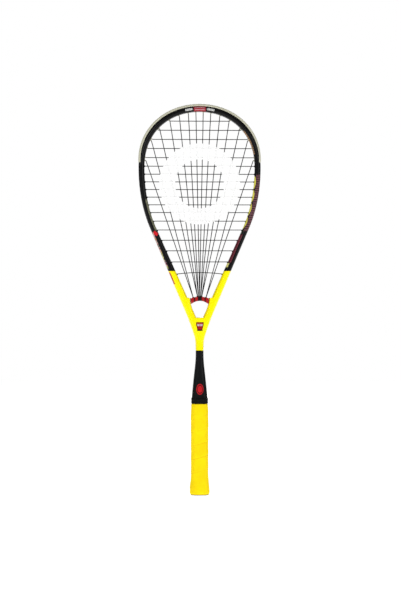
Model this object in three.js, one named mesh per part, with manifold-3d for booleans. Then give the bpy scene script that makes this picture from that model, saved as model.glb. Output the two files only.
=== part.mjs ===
// A squash racket with a teardrop head: one hollow carbon frame, a set-in throat bridge, grommets and
// a bumper guard, two woven strings, and a foam handle with its butt cap, grip, tape and sliding collar.
// Millimetres, +Z up the racket, +X to the right of the string face, the front of the face towards -Y.
import * as THREE from "three";
import { mergeVertices } from "three/addons/utils/BufferGeometryUtils.js";
import Module from "manifold-3d";

const wasm = await Module();
wasm.setup();

// ---------------------------------------------------------------- driving dimensions
// Heights are measured from the butt end, as racket makers do. The finished racket is then lowered by
// HAND_HEIGHT, so that its origin lies on the handle's axis where the hand closes.
const LENGTH = 685.8;
const HEAD_WIDTH = 215;
const HAND_HEIGHT = 80;
const GAP = 0.3;

// The beam: n is measured outwards across it from the line of the string holes, y through its depth.
const BEAM_OUTER = 5.5;
const BEAM_INNER_HEAD = 5.4;
const BEAM_INNER_ARM_TOP = 4.9;
const BEAM_INNER_ARM_FOOT = 8.3;
const HEAD_HALF_DEPTH = 9.5;
const ARM_HALF_DEPTH = 10.2;
const WALL = 1.3;
const GROOVE_FLOOR = 2.3;
const GROOVE_HALF = 2.95;
const CAVITY_OUTER = 1;

// The line of the string holes, from the top of the head down one side to the foot of the arm.
const BUMPER_RISE = 3.1;
const LINE_TOP = LENGTH - BUMPER_RISE - BEAM_OUTER;
const LINE_SIDE = HEAD_WIDTH / 2 - BEAM_OUTER;
const CROWN_ROUNDNESS = 0.53;
const FLANK_ROUNDNESS = 0.64;
const SHOULDER_Z = 576;
const ARM_TOP = new THREE.Vector2(82.1, 470);
const ARM_FOOT = new THREE.Vector2(10.4, 301.3);
const HEAD_STEPS = 22;

// Strings: 14 mains by 18 crosses of one gauge, woven over and under.
const STRING_R = 0.575;
const STRING_SIDES = 5;
const WEAVE = 0.77;
const MAINS = 14;
const MAIN_X = [6.4, 19.6, 35.5, 52, 70, 84.5];
const FIRST_CROSS_Z = 655.8;
const CROSS_PITCH = [16, 16, 16, 16, 15, 14, 13.4, 13.4, 13.4, 13.4, 13.6, 15, 15.5, 18, 18.5, 19.5, 21];
const CROSSES = CROSS_PITCH.length + 1;
const LAST_CROSS_BOW = 2.3;
const LAST_MAIN_BELOW_CROSS = 5;
const ROW = 1;
const RUN_N = 4.3;
const RUN_STEP = 11;
const BEND = 1;
const KNOT_R = 1.05;
const KNOT_N = 4.6;

// Grommets.
const BORE_R = 0.95;
const BARREL_R = 1.5;
const HOLE_R = 1.85;
const BARREL_STANDS = 1.1;
const MOUTH_STANDS = 1.9;
const STRIP_FLOOR = 2.55;
const STRIP_TOP = 3.35;
const STRIP_HALF = 2.6;
const CHANNEL_HALF = 2.3;
const BUMPER_END_Z = 583;
const BUMPER_SEAT = 0.7;
const BUMPER_TAPER = 3.2;
const STRIP_LAST_CROSS = 16;
const FLANGE_HALF = 4;

// Throat.
const BRIDGE_Z = 348.2;
const BRIDGE_HALF_DEPTH = 8.6;
const BRIDGE_PAIR_STEP = 1.9;
const BRIDGE_ROW = 1.4;
const SIDE_HOLE_X = 11.7;
const SIDE_TILT = THREE.MathUtils.degToRad(16);
const THROAT_FLOOR_Z = 311.5;
const YOKE_TOP_Z = 346.5;
const PAINT_STEP_Z = 253.8;

// Handle: half sizes are [across X, through Y].
const PALLET = [12.6, 10.7];
const SHAFT_CORE = [5.2, 7.6];
const BEVEL = 0.42;
const CAP_FLOOR = 4;
const STAPLE_Z = 12;

// ---------------------------------------------------------------- solids and meshes
function flipIfInsideOut(geometry) {
  const at = geometry.getAttribute("position");
  const index = geometry.index.array;
  const [a, b, c] = [new THREE.Vector3(), new THREE.Vector3(), new THREE.Vector3()];
  let volume = 0;
  for (let i = 0; i < index.length; i += 3) {
    a.fromBufferAttribute(at, index[i]);
    b.fromBufferAttribute(at, index[i + 1]);
    c.fromBufferAttribute(at, index[i + 2]);
    volume += a.dot(b.cross(c));
  }
  if (volume < 0) geometry.setIndex(Array.from(index).reverse());
  return geometry;
}

function toSolid(geometry) {
  const bare = geometry.clone();
  bare.deleteAttribute("normal");
  bare.deleteAttribute("uv");
  const merged = mergeVertices(bare, 1e-5);
  return new wasm.Manifold(
    new wasm.Mesh({
      numProp: 3,
      vertProperties: new Float32Array(merged.getAttribute("position").array),
      triVerts: new Uint32Array(merged.index.array),
    }),
  );
}

function toGeometry(solid) {
  const mesh = solid.getMesh();
  const geometry = new THREE.BufferGeometry();
  geometry.setAttribute("position", new THREE.BufferAttribute(mesh.vertProperties, mesh.numProp));
  geometry.setIndex(new THREE.BufferAttribute(mesh.triVerts, 1));
  geometry.computeVertexNormals();
  return geometry;
}

const joined = (...geometries) => geometries.map(toSolid).reduce((a, b) => a.add(b));
const cutBy = (solid, tools) => tools.map(toSolid).reduce((a, b) => a.subtract(b), solid);

// A skin over rings of equally many points. The ends are capped, or with `closed` the last ring joins
// the first, as for a sleeve whose rings go up its outside and down its inside.
function skin(rings, closed = false) {
  const count = rings[0].length;
  const index = [];
  const spans = closed ? rings.length : rings.length - 1;
  for (let i = 0; i < spans; i++) {
    const [low, high] = [i * count, ((i + 1) % rings.length) * count];
    for (let k = 0; k < count; k++) {
      const next = (k + 1) % count;
      index.push(low + k, low + next, high + next, low + k, high + next, high + k);
    }
  }
  if (!closed) {
    const last = (rings.length - 1) * count;
    for (const [a, b, c] of capFaces(rings[0])) index.push(c, b, a);
    for (const [a, b, c] of capFaces(rings.at(-1))) index.push(last + a, last + b, last + c);
  }
  const geometry = new THREE.BufferGeometry().setFromPoints(rings.flat());
  geometry.setIndex(index);
  return flipIfInsideOut(geometry);
}

// The triangles of one flat ring, found in the plane that the ring lies in.
function capFaces(ring) {
  const [centre, normal] = [new THREE.Vector3(), new THREE.Vector3()];
  ring.forEach((p) => centre.addScaledVector(p, 1 / ring.length));
  ring.forEach((p, i) => {
    const next = ring[(i + 1) % ring.length];
    normal.add(p.clone().sub(centre).cross(next.clone().sub(centre)));
  });
  normal.normalize();
  const u = ring[0].clone().sub(centre).normalize();
  const v = normal.cross(u);
  const flat = ring.map((p) => {
    const offset = p.clone().sub(centre);
    return new THREE.Vector2(offset.dot(u), offset.dot(v));
  });
  return THREE.ShapeUtils.triangulateShape(flat, []);
}

// A course of points that an extrusion follows exactly, with one step at each point.
class Course extends THREE.Curve {
  constructor(points) {
    super();
    this.points = points;
  }

  getPointAt(u) {
    return this.points[Math.round(u * (this.points.length - 1))].clone();
  }

  getTangentAt(u) {
    const last = this.points.length - 1;
    const i = Math.round(u * last);
    const here = this.points[i];
    const arriving = here.clone().sub(this.points[Math.max(i - 1, 0)]).normalize();
    const leaving = this.points[Math.min(i + 1, last)].clone().sub(here).normalize();
    return arriving.add(leaving).normalize();
  }
}

function tube(points, radius) {
  const corners = Array.from({ length: STRING_SIDES }, (_, i) => {
    const angle = (2 * Math.PI * i) / STRING_SIDES;
    return new THREE.Vector2(radius * Math.cos(angle), radius * Math.sin(angle));
  });
  return new THREE.ExtrudeGeometry(new THREE.Shape(corners), {
    steps: points.length - 1,
    extrudePath: new Course(points),
    bevelEnabled: false,
  });
}

function prismAlong(from, to, radius, sides) {
  const axis = to.clone().sub(from);
  const geometry = new THREE.CylinderGeometry(radius, radius, axis.length(), sides);
  const turn = new THREE.Quaternion().setFromUnitVectors(
    new THREE.Vector3(0, 1, 0),
    axis.clone().normalize(),
  );
  geometry.applyQuaternion(turn);
  const middle = from.clone().add(to).multiplyScalar(0.5);
  return geometry.translate(middle.x, middle.y, middle.z);
}

function box(x, y, z, cx, cy, cz) {
  return new THREE.BoxGeometry(x, y, z).translate(cx, cy, cz);
}

// A plate drawn in the X-Z plane and extruded through the depth, centred on the string plane.
function plate(shape, halfDepth, curveSegments) {
  const geometry = new THREE.ExtrudeGeometry(shape, {
    depth: 2 * halfDepth,
    bevelEnabled: false,
    curveSegments,
  });
  return geometry.rotateX(Math.PI / 2).translate(0, halfDepth, 0);
}

// ---------------------------------------------------------------- the line of the string holes
function holeLine() {
  const line = new THREE.Path();
  const rise = LINE_TOP - SHOULDER_Z;
  const lean = (ARM_TOP.y - ARM_FOOT.y) / (ARM_TOP.x - ARM_FOOT.x);
  line.moveTo(0, LINE_TOP);
  line.bezierCurveTo(
    CROWN_ROUNDNESS * LINE_SIDE,
    LINE_TOP,
    LINE_SIDE,
    SHOULDER_Z + FLANK_ROUNDNESS * rise,
    LINE_SIDE,
    SHOULDER_Z,
  );
  const flankZ = ARM_TOP.y + (LINE_SIDE - ARM_TOP.x) * lean;
  line.quadraticCurveTo(LINE_SIDE, flankZ, ARM_TOP.x, ARM_TOP.y);
  line.lineTo(ARM_FOOT.x, ARM_FOOT.y);
  return line;
}

const LINE = holeLine();
const [SHOULDER_LENGTH, ARM_LENGTH, LINE_LENGTH] = LINE.getCurveLengths();
const T_SHOULDER = SHOULDER_LENGTH / LINE_LENGTH;
const T_ARM = ARM_LENGTH / LINE_LENGTH;

// t runs from 0 at the top of the head to 1 at the foot of the right arm, and to -1 at the left one.
function station(t) {
  const side = t < 0 ? -1 : 1;
  const at = LINE.getPoint(Math.abs(t));
  const heading = LINE.getTangent(Math.abs(t));
  return { t, x: side * at.x, z: at.y, nx: -side * heading.y, nz: heading.x };
}

function offset(s, n, y) {
  return new THREE.Vector3(s.x + n * s.nx, y, s.z + n * s.nz);
}

function armShare(t) {
  return Math.max(0, (Math.abs(t) - T_ARM) / (1 - T_ARM));
}

function innerHalf(t) {
  const { lerp } = THREE.MathUtils;
  if (Math.abs(t) > T_ARM) return lerp(BEAM_INNER_ARM_TOP, BEAM_INNER_ARM_FOOT, armShare(t));
  const belowShoulder = Math.max(0, (Math.abs(t) - T_SHOULDER) / (T_ARM - T_SHOULDER));
  return lerp(BEAM_INNER_HEAD, BEAM_INNER_ARM_TOP, belowShoulder);
}

// The t between low and high where measure(t) reaches target; measure rises or falls all the way.
function solve(measure, target, low, high) {
  const rising = measure(high) > measure(low);
  for (let i = 0; i < 40; i++) {
    const middle = (low + high) / 2;
    if (measure(middle) < target === rising) low = middle;
    else high = middle;
  }
  return (low + high) / 2;
}

const mouth = (t) => offset(station(t), -innerHalf(t) - MOUTH_STANDS, 0);
const tAtZ = (z) => solve((t) => mouth(t).z, z, 0.01, 1);
const tAtX = (x) => solve((t) => mouth(t).x, x, 0, T_SHOULDER);

// ---------------------------------------------------------------- where the strings go
const CROSS_Z = [FIRST_CROSS_Z];
for (const pitch of CROSS_PITCH) CROSS_Z.push(CROSS_Z.at(-1) - pitch);
const crossT = CROSS_Z.map(tAtZ);
const mainHalfT = [...MAIN_X.map(tAtX), tAtZ(CROSS_Z[4] - LAST_MAIN_BELOW_CROSS)];
const mainT = [...mainHalfT.map((t) => -t).reverse(), ...mainHalfT];

// Mains pass the bridge in pairs, one in the front row and one in the back: the outer pair of each side
// has a leaning grommet, and the five pairs in the middle share a slotted one.
const isOuter = (i) => i < 2 || i >= MAINS - 2;

function bridgeX(i) {
  const pairFromMiddle = Math.floor(i / 2) - (MAINS / 2 - 1) / 2;
  return isOuter(i) ? Math.sign(pairFromMiddle) * SIDE_HOLE_X : pairFromMiddle * BRIDGE_PAIR_STEP;
}

const bridgeY = (i) => (i % 2 ? -BRIDGE_ROW : BRIDGE_ROW);
const SIDE_TOP_Z = BRIDGE_Z - 0.3;
const CENTRE_TOP_Z = BRIDGE_Z + 0.6;
const bridgeTop = (i) =>
  new THREE.Vector3(bridgeX(i), bridgeY(i), isOuter(i) ? SIDE_TOP_Z : CENTRE_TOP_Z);

function bridgeBottom(i) {
  const drop = isOuter(i) ? 7.8 : 6.8;
  const shift = isOuter(i) ? -Math.sign(bridgeX(i)) * drop * Math.tan(SIDE_TILT) : 0;
  const top = bridgeTop(i);
  return new THREE.Vector3(top.x + shift, top.y, top.z - drop);
}

// Main i meets cross k where the main's line reaches the cross's height; the last cross bows upwards.
function crossing(i, k) {
  const top = mouth(mainT[i]);
  const bottom = bridgeTop(i);
  const reach = mouth(crossT[k]).x;
  const xAt = (z) => THREE.MathUtils.mapLinear(z, bottom.z, top.z, bottom.x, top.x);
  let z = CROSS_Z[k];
  if (k === CROSSES - 1) z += LAST_CROSS_BOW * (1 - (xAt(z) / reach) ** 2);
  return new THREE.Vector3(xAt(z), 0, z);
}

const crosses = (i, k) => CROSS_Z[k] < mouth(mainT[i]).z - 1.5;
const mainIsBehind = (i, k) => (i + k) % 2 === 1;

function mainStrand(i) {
  const s = station(mainT[i]);
  const points = [offset(s, RUN_N - BEND, ROW), offset(s, -innerHalf(mainT[i]) - MOUTH_STANDS, ROW)];
  for (let k = 0; k < CROSSES; k++) {
    if (!crosses(i, k)) continue;
    points.push(crossing(i, k).setY(mainIsBehind(i, k) ? WEAVE : -WEAVE));
  }
  points.push(bridgeTop(i), bridgeBottom(i));
  return points;
}

function crossStrand(k) {
  const [left, right] = [station(-crossT[k]), station(crossT[k])];
  const out = -innerHalf(crossT[k]) - MOUTH_STANDS;
  const points = [offset(left, RUN_N - BEND, -ROW), offset(left, out, -ROW)];
  for (let i = 0; i < MAINS; i++) {
    if (!crosses(i, k)) continue;
    points.push(crossing(i, k).setY(mainIsBehind(i, k) ? -WEAVE : WEAVE));
  }
  points.push(offset(right, out, -ROW), offset(right, RUN_N - BEND, -ROW));
  return points;
}

// The run round the outside of the frame from one hole to the next, in the grommet strip's channel.
function outsideRun(from, to, y) {
  const length = Math.abs(to - from) * LINE_LENGTH;
  const inset = ((BEND / LINE_LENGTH) * Math.abs(to - from)) / (to - from);
  const steps = Math.max(1, Math.round((length - 2 * BEND) / RUN_STEP));
  const points = [];
  for (let i = 0; i <= steps; i++) {
    const t = THREE.MathUtils.lerp(from + inset, to - inset, i / steps);
    points.push(offset(station(t), RUN_N, y));
  }
  const corner = (t, towards) => offset(station(t + 0.3 * towards), RUN_N - 0.3, y);
  return [corner(from, inset), ...points, corner(to, -inset)];
}

// Under the bridge a main turns round the web between the front and back rows and goes up again.
function underBridge(i) {
  const [from, to] = [bridgeBottom(i), bridgeBottom(i + 1)];
  const low = from.clone().add(to).multiplyScalar(0.5);
  return [low.setZ(low.z - 0.9)];
}

function mainPath() {
  const points = [];
  for (let i = 0; i < MAINS; i++) {
    const strand = mainStrand(i);
    if (i % 2 === 0) points.push(...strand, ...underBridge(i));
    else points.push(...strand.reverse());
    if (i % 2 && i < MAINS - 1) points.push(...outsideRun(mainT[i], mainT[i + 1], ROW));
  }
  return points;
}

function crossPath() {
  const points = [];
  for (let k = 0; k < CROSSES; k++) {
    const strand = crossStrand(k);
    points.push(...(k % 2 ? strand.reverse() : strand));
    if (k === CROSSES - 1) break;
    const side = k % 2 ? -1 : 1;
    points.push(...outsideRun(side * crossT[k], side * crossT[k + 1], -ROW));
  }
  return points;
}

// A string with its tie-off knots, which lie outside the first and last holes and can't pull through.
function strung(path, knots) {
  const ends = knots.map(({ t, y }) => offset(station(t), KNOT_N, y));
  const line = tube([ends[0], ...path, ends[1]], STRING_R);
  const lumps = ends.map((p) => new THREE.IcosahedronGeometry(KNOT_R, 1).translate(p.x, p.y, p.z));
  return toGeometry(joined(line, ...lumps.map((lump) => mergeVertices(lump))));
}

// ---------------------------------------------------------------- frame
// Points of the beam's section, back half; the front half mirrors them. Each is [n, y].
function beamSection(inner, outer, halfDepth, floor) {
  return mirrored([
    [floor, GROOVE_HALF],
    [outer, GROOVE_HALF + 0.1],
    [0.93 * outer, 0.55 * halfDepth],
    [0.7 * outer, 0.87 * halfDepth],
    [0.25 * outer, halfDepth],
    [-0.35 * inner, 0.97 * halfDepth],
    [-0.78 * inner, 0.72 * halfDepth],
    [-inner, 0.32 * halfDepth],
  ]);
}

function cavitySection(inner, halfDepth) {
  const [deep, reach] = [halfDepth - WALL, inner - WALL];
  return mirrored([
    [CAVITY_OUTER, 0.86 * deep],
    [0, deep],
    [-0.6 * reach, 0.8 * deep],
    [-reach, 0.36 * deep],
  ]);
}

const mirrored = (half) => [...half, ...half.map(([n, y]) => [n, -y]).reverse()];

const sweep = (ts, sectionAt) =>
  skin(ts.map((t) => sectionAt(t).map(([n, y]) => offset(station(t), n, y))));

function spread(from, to, steps) {
  return Array.from({ length: steps + 1 }, (_, i) => from + ((to - from) * i) / steps);
}

function grooveFloor(t) {
  return Math.abs(t) > GROOVE_END + 0.01 ? BEAM_OUTER - 0.05 : GROOVE_FLOOR;
}

function rounded(a, b, z, power, count) {
  return Array.from({ length: count }, (_, i) => {
    const angle = (2 * Math.PI * i) / count;
    const [c, s] = [Math.cos(angle), Math.sin(angle)];
    return new THREE.Vector3(
      a * Math.sign(c) * Math.abs(c) ** (2 / power),
      b * Math.sign(s) * Math.abs(s) ** (2 / power),
      z,
    );
  });
}

const outerLineX = (z) => {
  const edge = (p) => [p.x + BEAM_OUTER * EDGE_NORMAL.x, p.y + BEAM_OUTER * EDGE_NORMAL.y];
  const [[x0, z0], [x1, z1]] = [edge(ARM_FOOT), edge(ARM_TOP)];
  return THREE.MathUtils.mapLinear(z, z0, z1, x0, x1);
};
const armHeading = ARM_TOP.clone().sub(ARM_FOOT).normalize();
const EDGE_NORMAL = new THREE.Vector2(armHeading.y, -armHeading.x);

// The shaft and yoke, as [height, half width, half depth]. Its core runs down inside the handle.
function shaftProfile() {
  return [
    [8, ...SHAFT_CORE],
    [PAINT_STEP_Z - 0.1, ...SHAFT_CORE],
    [PAINT_STEP_Z, 6.85, 9.2],
    [262, 6.95, 9.2],
    [270, 7.5, 9.3],
    [278, 9.1, 9.6],
    [286, 11.7, 10],
    [294, 14.4, 10.3],
    [304, outerLineX(304) - 0.1, 10.3],
    [YOKE_TOP_Z, outerLineX(YOKE_TOP_Z) - 1.5, 9.3],
  ];
}

function throatOpening() {
  const shape = new THREE.Shape();
  const [floorHalf, corner, top] = [6, 2.7, YOKE_TOP_Z + 4];
  shape.moveTo(-floorHalf, THROAT_FLOOR_Z);
  shape.lineTo(floorHalf, THROAT_FLOOR_Z);
  shape.quadraticCurveTo(floorHalf + corner, THROAT_FLOOR_Z, floorHalf + corner + 0.6, THROAT_FLOOR_Z + 5);
  shape.lineTo(15.3, 336);
  shape.lineTo(17.4, top);
  shape.lineTo(-17.4, top);
  shape.lineTo(-15.3, 336);
  shape.lineTo(-floorHalf - corner - 0.6, THROAT_FLOOR_Z + 5);
  shape.quadraticCurveTo(-floorHalf - corner, THROAT_FLOOR_Z, -floorHalf, THROAT_FLOOR_Z);
  return plate(shape, 15, 4);
}

function stringHole(t, y) {
  const s = station(t);
  return prismAlong(offset(s, -innerHalf(t) - 3, y), offset(s, BEAM_OUTER + 3, y), HOLE_R, 6);
}

// Stations from one arm's foot over the head to the other's. Everything that lies on the frame is
// swept through the same ones, so that its facets stay parallel to the frame's.
const BUMPER_END = solve((t) => station(t).z, BUMPER_END_Z, 0.01, 1);
const GROOVE_END = crossT[CROSSES - 1] + 0.03;
const HALF_STATIONS = [...spread(0, T_ARM, HEAD_STEPS), GROOVE_END, GROOVE_END + 0.03, 1];
const STATIONS = [...HALF_STATIONS.slice(1).reverse(), ...HALF_STATIONS.map((t) => -t)];

function stationsBetween(from, to) {
  return [from, ...STATIONS.filter((t) => t < from - 0.001 && t > to + 0.001), to];
}

function frame() {
  const seat = [BUMPER_END, BUMPER_END - 1e-4];
  const ts = [...STATIONS, ...seat, ...seat.map((t) => -t)].sort((a, b) => b - a);
  const depth = (t) => THREE.MathUtils.lerp(HEAD_HALF_DEPTH, ARM_HALF_DEPTH, armShare(t));
  const outer = (t) => (Math.abs(t) < BUMPER_END ? BEAM_OUTER - BUMPER_SEAT : BEAM_OUTER);
  const beam = sweep(ts, (t) => beamSection(innerHalf(t), outer(t), depth(t), grooveFloor(t)));
  const hollow = sweep(STATIONS, (t) => cavitySection(innerHalf(t), depth(t)));
  const shaft = shaftProfile();
  const yoke = skin(shaft.map(([z, a, b]) => rounded(a, b, z, 2.8, 20)));
  const bore = skin([
    ...shaft
      .filter(([z]) => z < 300)
      .map(([z, a, b], i) => rounded(a - WALL, b - WALL, i ? z : z - 1, 2.8, 12)),
    rounded(16.5, 8.8, THROAT_FLOOR_Z - 4, 2.8, 12),
  ]);
  const holes = [
    ...mainT.map((t) => stringHole(t, ROW)),
    ...crossT.flatMap((t) => [stringHole(t, -ROW), stringHole(-t, -ROW)]),
  ];
  return toGeometry(cutBy(joined(beam, yoke), [throatOpening(), hollow, bore, ...holes]));
}

// ---------------------------------------------------------------- throat bridge and its grommets
function bridgeBlank() {
  const shape = new THREE.Shape();
  const [endX, endTop, footX, foot, under] = [16.15, 345.4, 14.9, 335.6, 340.9];
  shape.moveTo(-endX, endTop);
  shape.quadraticCurveTo(0, 2 * BRIDGE_Z - endTop, endX, endTop);
  shape.lineTo(footX, foot);
  shape.quadraticCurveTo(0, 2 * under - foot, -footX, foot);
  return plate(shape, BRIDGE_HALF_DEPTH, 6);
}

function leaning(geometry, side) {
  const middle = SIDE_TOP_Z - 3.7;
  const x = SIDE_HOLE_X - (SIDE_TOP_Z - middle) * Math.tan(SIDE_TILT);
  return geometry.rotateY(side * SIDE_TILT).translate(side * x, 0, middle);
}

const CENTRE_GROMMET = [10.4, 5.6, 6.8];
const SIDE_GROMMET = [3.1, 5.6, 6.6];

function throatBridge() {
  const grown = (size) => size.map((v) => v + 2 * GAP);
  const [cx, cy] = grown(CENTRE_GROMMET);
  const [sx, sy] = grown(SIDE_GROMMET);
  return toGeometry(
    cutBy(toSolid(bridgeBlank()), [
      box(cx, cy, 40, 0, 0, BRIDGE_Z),
      ...[-1, 1].map((side) => leaning(new THREE.BoxGeometry(sx, sy, 40), side)),
    ]),
  );
}

function centreGrommet() {
  const [x, y, z] = CENTRE_GROMMET;
  const slotX = (MAINS / 2 - 3) * BRIDGE_PAIR_STEP + 2 * STRING_R + 2 * GAP;
  const middle = BRIDGE_Z - 2.3;
  const slots = [-1, 1].map((row) => box(slotX, 1.75, 30, 0, row * BRIDGE_ROW, middle));
  return toGeometry(cutBy(toSolid(box(x, y, z, 0, 0, middle)), slots));
}

function sideGrommet(side) {
  const [x, y, z] = SIDE_GROMMET;
  const slots = [-1, 1].map((row) => {
    const slot = new THREE.BoxGeometry(1.9, 1.75, 30).translate(0, row * BRIDGE_ROW, 0);
    return leaning(slot, side);
  });
  return toGeometry(cutBy(toSolid(leaning(new THREE.BoxGeometry(x, y, z), side)), slots));
}

// ---------------------------------------------------------------- grommet strips and bumper guard
function barrels(strip, holes) {
  const barrel = ({ t, y }) => {
    const s = station(t);
    const end = -innerHalf(t) - BARREL_STANDS;
    return prismAlong(offset(s, end, y), offset(s, STRIP_FLOOR + 0.4, y), BARREL_R, 6);
  };
  const bore = ({ t, y }) => {
    const s = station(t);
    return prismAlong(offset(s, -innerHalf(t) - 4, y), offset(s, STRIP_TOP + 2, y), BORE_R, 6);
  };
  return toGeometry(cutBy(joined(strip, ...holes.map(barrel)), holes.map(bore)));
}

const STRIP_SECTION = mirrored([
  [STRIP_TOP, STRIP_HALF],
  [STRIP_FLOOR, STRIP_HALF],
]);

const crossHole = (k, side) => ({ t: side * crossT[k], y: -ROW });

function sideStrip(side) {
  const first = CROSS_Z.findIndex((z) => z < BUMPER_END_Z);
  const holes = [];
  for (let k = first; k < STRIP_LAST_CROSS; k++) holes.push(crossHole(k, side));
  const overhang = FLANGE_HALF / LINE_LENGTH;
  const [from, to] = [holes[0].t - side * overhang, holes.at(-1).t + side * overhang];
  const ts = side > 0 ? stationsBetween(to, from) : stationsBetween(from, to);
  return barrels(sweep(ts, () => STRIP_SECTION), holes);
}

function armGrommet(k, side) {
  const hole = crossHole(k, side);
  const reach = FLANGE_HALF / LINE_LENGTH;
  return barrels(sweep([hole.t - reach, hole.t + reach], () => STRIP_SECTION), [hole]);
}

// The guard's rails stand proud of the frame at the top of the head and sink to its level at the ends,
// where their lips reach further over the frame's shoulders instead.
function bumperSection(t) {
  const rise = Math.cos((Math.PI / 2) * (Math.abs(t) / BUMPER_END) ** BUMPER_TAPER);
  const rail = BEAM_OUTER + BUMPER_RISE * rise;
  const seat = BEAM_OUTER - BUMPER_SEAT;
  const lift = 0.35 * Math.sin(Math.PI * rise);
  const between = ([n0, y0], [n1, y1]) => [
    THREE.MathUtils.lerp(n1, n0, rise) + 0.5 * lift,
    THREE.MathUtils.lerp(y1, y0, rise) + 0.87 * lift,
  ];
  return mirrored([
    [STRIP_TOP, CHANNEL_HALF],
    [rail - 0.3, CHANNEL_HALF + 0.15],
    [rail, 4.2],
    [rail - 0.35, 6.1],
    between([6.3, 7.5], [4, 8.75]),
    between([4.9, 7.6], [2.5, 9.45]),
    between([4.6, 7], [2.27, 9.06]),
    between([4.65, 6.2], [3.62, 8.42]),
    [seat, 4.9],
    [seat + GAP, STRIP_HALF + 0.1],
    [STRIP_FLOOR, STRIP_HALF],
  ]);
}

function bumperGuard() {
  const under = crossT.filter((t) => t < BUMPER_END);
  const holes = [
    ...mainT.map((t) => ({ t, y: ROW })),
    ...under.flatMap((t) => [-1, 1].map((side) => ({ t: side * t, y: -ROW }))),
  ];
  const end = BUMPER_END - GAP / LINE_LENGTH;
  return barrels(sweep(stationsBetween(end, -end), bumperSection), holes);
}

// ---------------------------------------------------------------- handle
// A ring round the handle: a bevelled box that turns into an oval as `soft` goes from 0 to 1.
function handleRing([a, b], z, soft = 0) {
  const bevel = BEVEL * b;
  const square = [
    [a, 0],
    [a, b - bevel],
    [a - bevel / 2, b - bevel / 2],
    [a - bevel, b],
  ];
  const oval = [0, 34, 48, 62].map((degrees) => {
    const angle = THREE.MathUtils.degToRad(degrees);
    return [a * Math.cos(angle) ** 0.8, b * Math.sin(angle) ** 0.8];
  });
  const quarter = square.map(([x, y], i) => [
    THREE.MathUtils.lerp(x, oval[i][0], soft),
    THREE.MathUtils.lerp(y, oval[i][1], soft),
  ]);
  const half = [...quarter, [0, b], ...quarter.slice(1).map(([x, y]) => [-x, y]).reverse()];
  const ring = [...half, ...half.map(([x, y]) => [-x, -y])];
  return ring.map(([x, y]) => new THREE.Vector3(x, y, z));
}

// Rings given as [height, half width, softness]; the handle is thinner through Y by the same amount
// all along.
const SLIM = PALLET[0] - PALLET[1];
const handleRings = (profile) => profile.map(([z, a, soft]) => handleRing([a, a - SLIM], z, soft));

function stapleShape(spanX, legY, wire) {
  const shape = new THREE.Shape();
  const half = spanX / 2;
  shape.moveTo(-half, 0);
  shape.lineTo(half, 0);
  shape.lineTo(half, legY);
  shape.lineTo(half - wire, legY);
  shape.lineTo(half - wire, wire);
  shape.lineTo(-half + wire, wire);
  shape.lineTo(-half + wire, legY);
  shape.lineTo(-half, legY);
  return shape;
}

// A staple driven through the cap into the pallet. `grow` gives the hole that it needs.
function staple({ turn, depth }, grow = 0) {
  const [span, leg, wire] = [7, 4.6, 0.8];
  const geometry = new THREE.ExtrudeGeometry(stapleShape(span + 2 * grow, leg + grow, wire + 2 * grow), {
    depth: wire + 2 * grow,
    bevelEnabled: false,
  });
  geometry.translate(0, -depth - grow, STAPLE_Z - wire / 2 - grow);
  return geometry.rotateZ(turn);
}

const STAPLES = {
  front: { turn: 0, depth: 13 },
  back: { turn: Math.PI, depth: 13 },
  side: { turn: Math.PI / 2, depth: 14.9 },
};

function pallet() {
  const stock = handleRings([
    [CAP_FLOOR + GAP, PALLET[0]],
    [168.6, PALLET[0]],
    [169, 13.6],
    [172.7, 13.4],
  ]);
  const cone = [
    [187, 12.1, 11.1, 0.25],
    [201, 10.8, 10.5, 0.5],
    [215, 9.3, 9.9, 0.75],
    [229, 7.8, 9.4, 1],
    [241, 6.95, 9.2, 1],
    [PAINT_STEP_Z - 0.1 - GAP, 6.8, 9.15, 1],
  ].map(([z, a, b, soft]) => handleRing([a, b], z, soft));
  const core = skin([0, PAINT_STEP_Z + 10].map((z) => rounded(5.2 + GAP, 7.6 + GAP, z, 2.8, 20)));
  const legs = Object.values(STAPLES).map((where) => staple(where, 0.2));
  return toGeometry(cutBy(toSolid(skin([...stock, ...cone])), [core, ...legs]));
}

function buttCap() {
  const outside = handleRings([
    [0, 15.6],
    [0.8, 16.7],
    [2.2, 17],
    [2.3, 15.8],
    [9, 15.8],
    [18, 14.4],
    [27, 13.4],
  ]);
  const inside = skin(handleRings([CAP_FLOOR, 30].map((z) => [z, PALLET[0] + GAP])));
  const recesses = Object.values(STAPLES).map(({ turn, depth }) => staple({ turn, depth }, 0.2));
  const pockets = Object.values(STAPLES).map(({ turn, depth }) =>
    box(7.4, 2, 1.3, 0, -depth - 0.6, STAPLE_Z).rotateZ(turn),
  );
  return toGeometry(cutBy(toSolid(skin(outside)), [inside, ...recesses, ...pockets]));
}

// The wrapped grip, as one sleeve: up its outside, then down its inside over the pallet and the cap.
function gripSleeve() {
  const outside = [
    [2.6, 17.3, 0.3],
    [8, 17.6, 0.3],
    [14, 17.4, 0.3],
    [20, 16.7, 0.3],
    [28, 15.8, 0.3],
    [36, 15.45, 0.3],
    [145, 15.5, 0.3],
    [155, 15.1, 0.3],
    [160.2, 14.75, 0.3],
    [160.2, 13.15],
    [163.5, 13.15],
  ];
  const inside = [
    [163.5, 12.9],
    [28.4, 12.9],
    [27.4, 13.7],
    [18, 14.7],
    [9.2, 16.1],
    [2.6, 16.1],
  ];
  return skin(handleRings([...outside, ...inside]), true);
}

function finishingTape() {
  const profile = [
    [160.6, 13.6],
    [164.2, 13.6],
    [168.3, 13.2],
    [168.3, 12.9],
    [164.2, 13.35],
    [160.6, 13.35],
  ];
  return skin(handleRings(profile), true);
}

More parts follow.
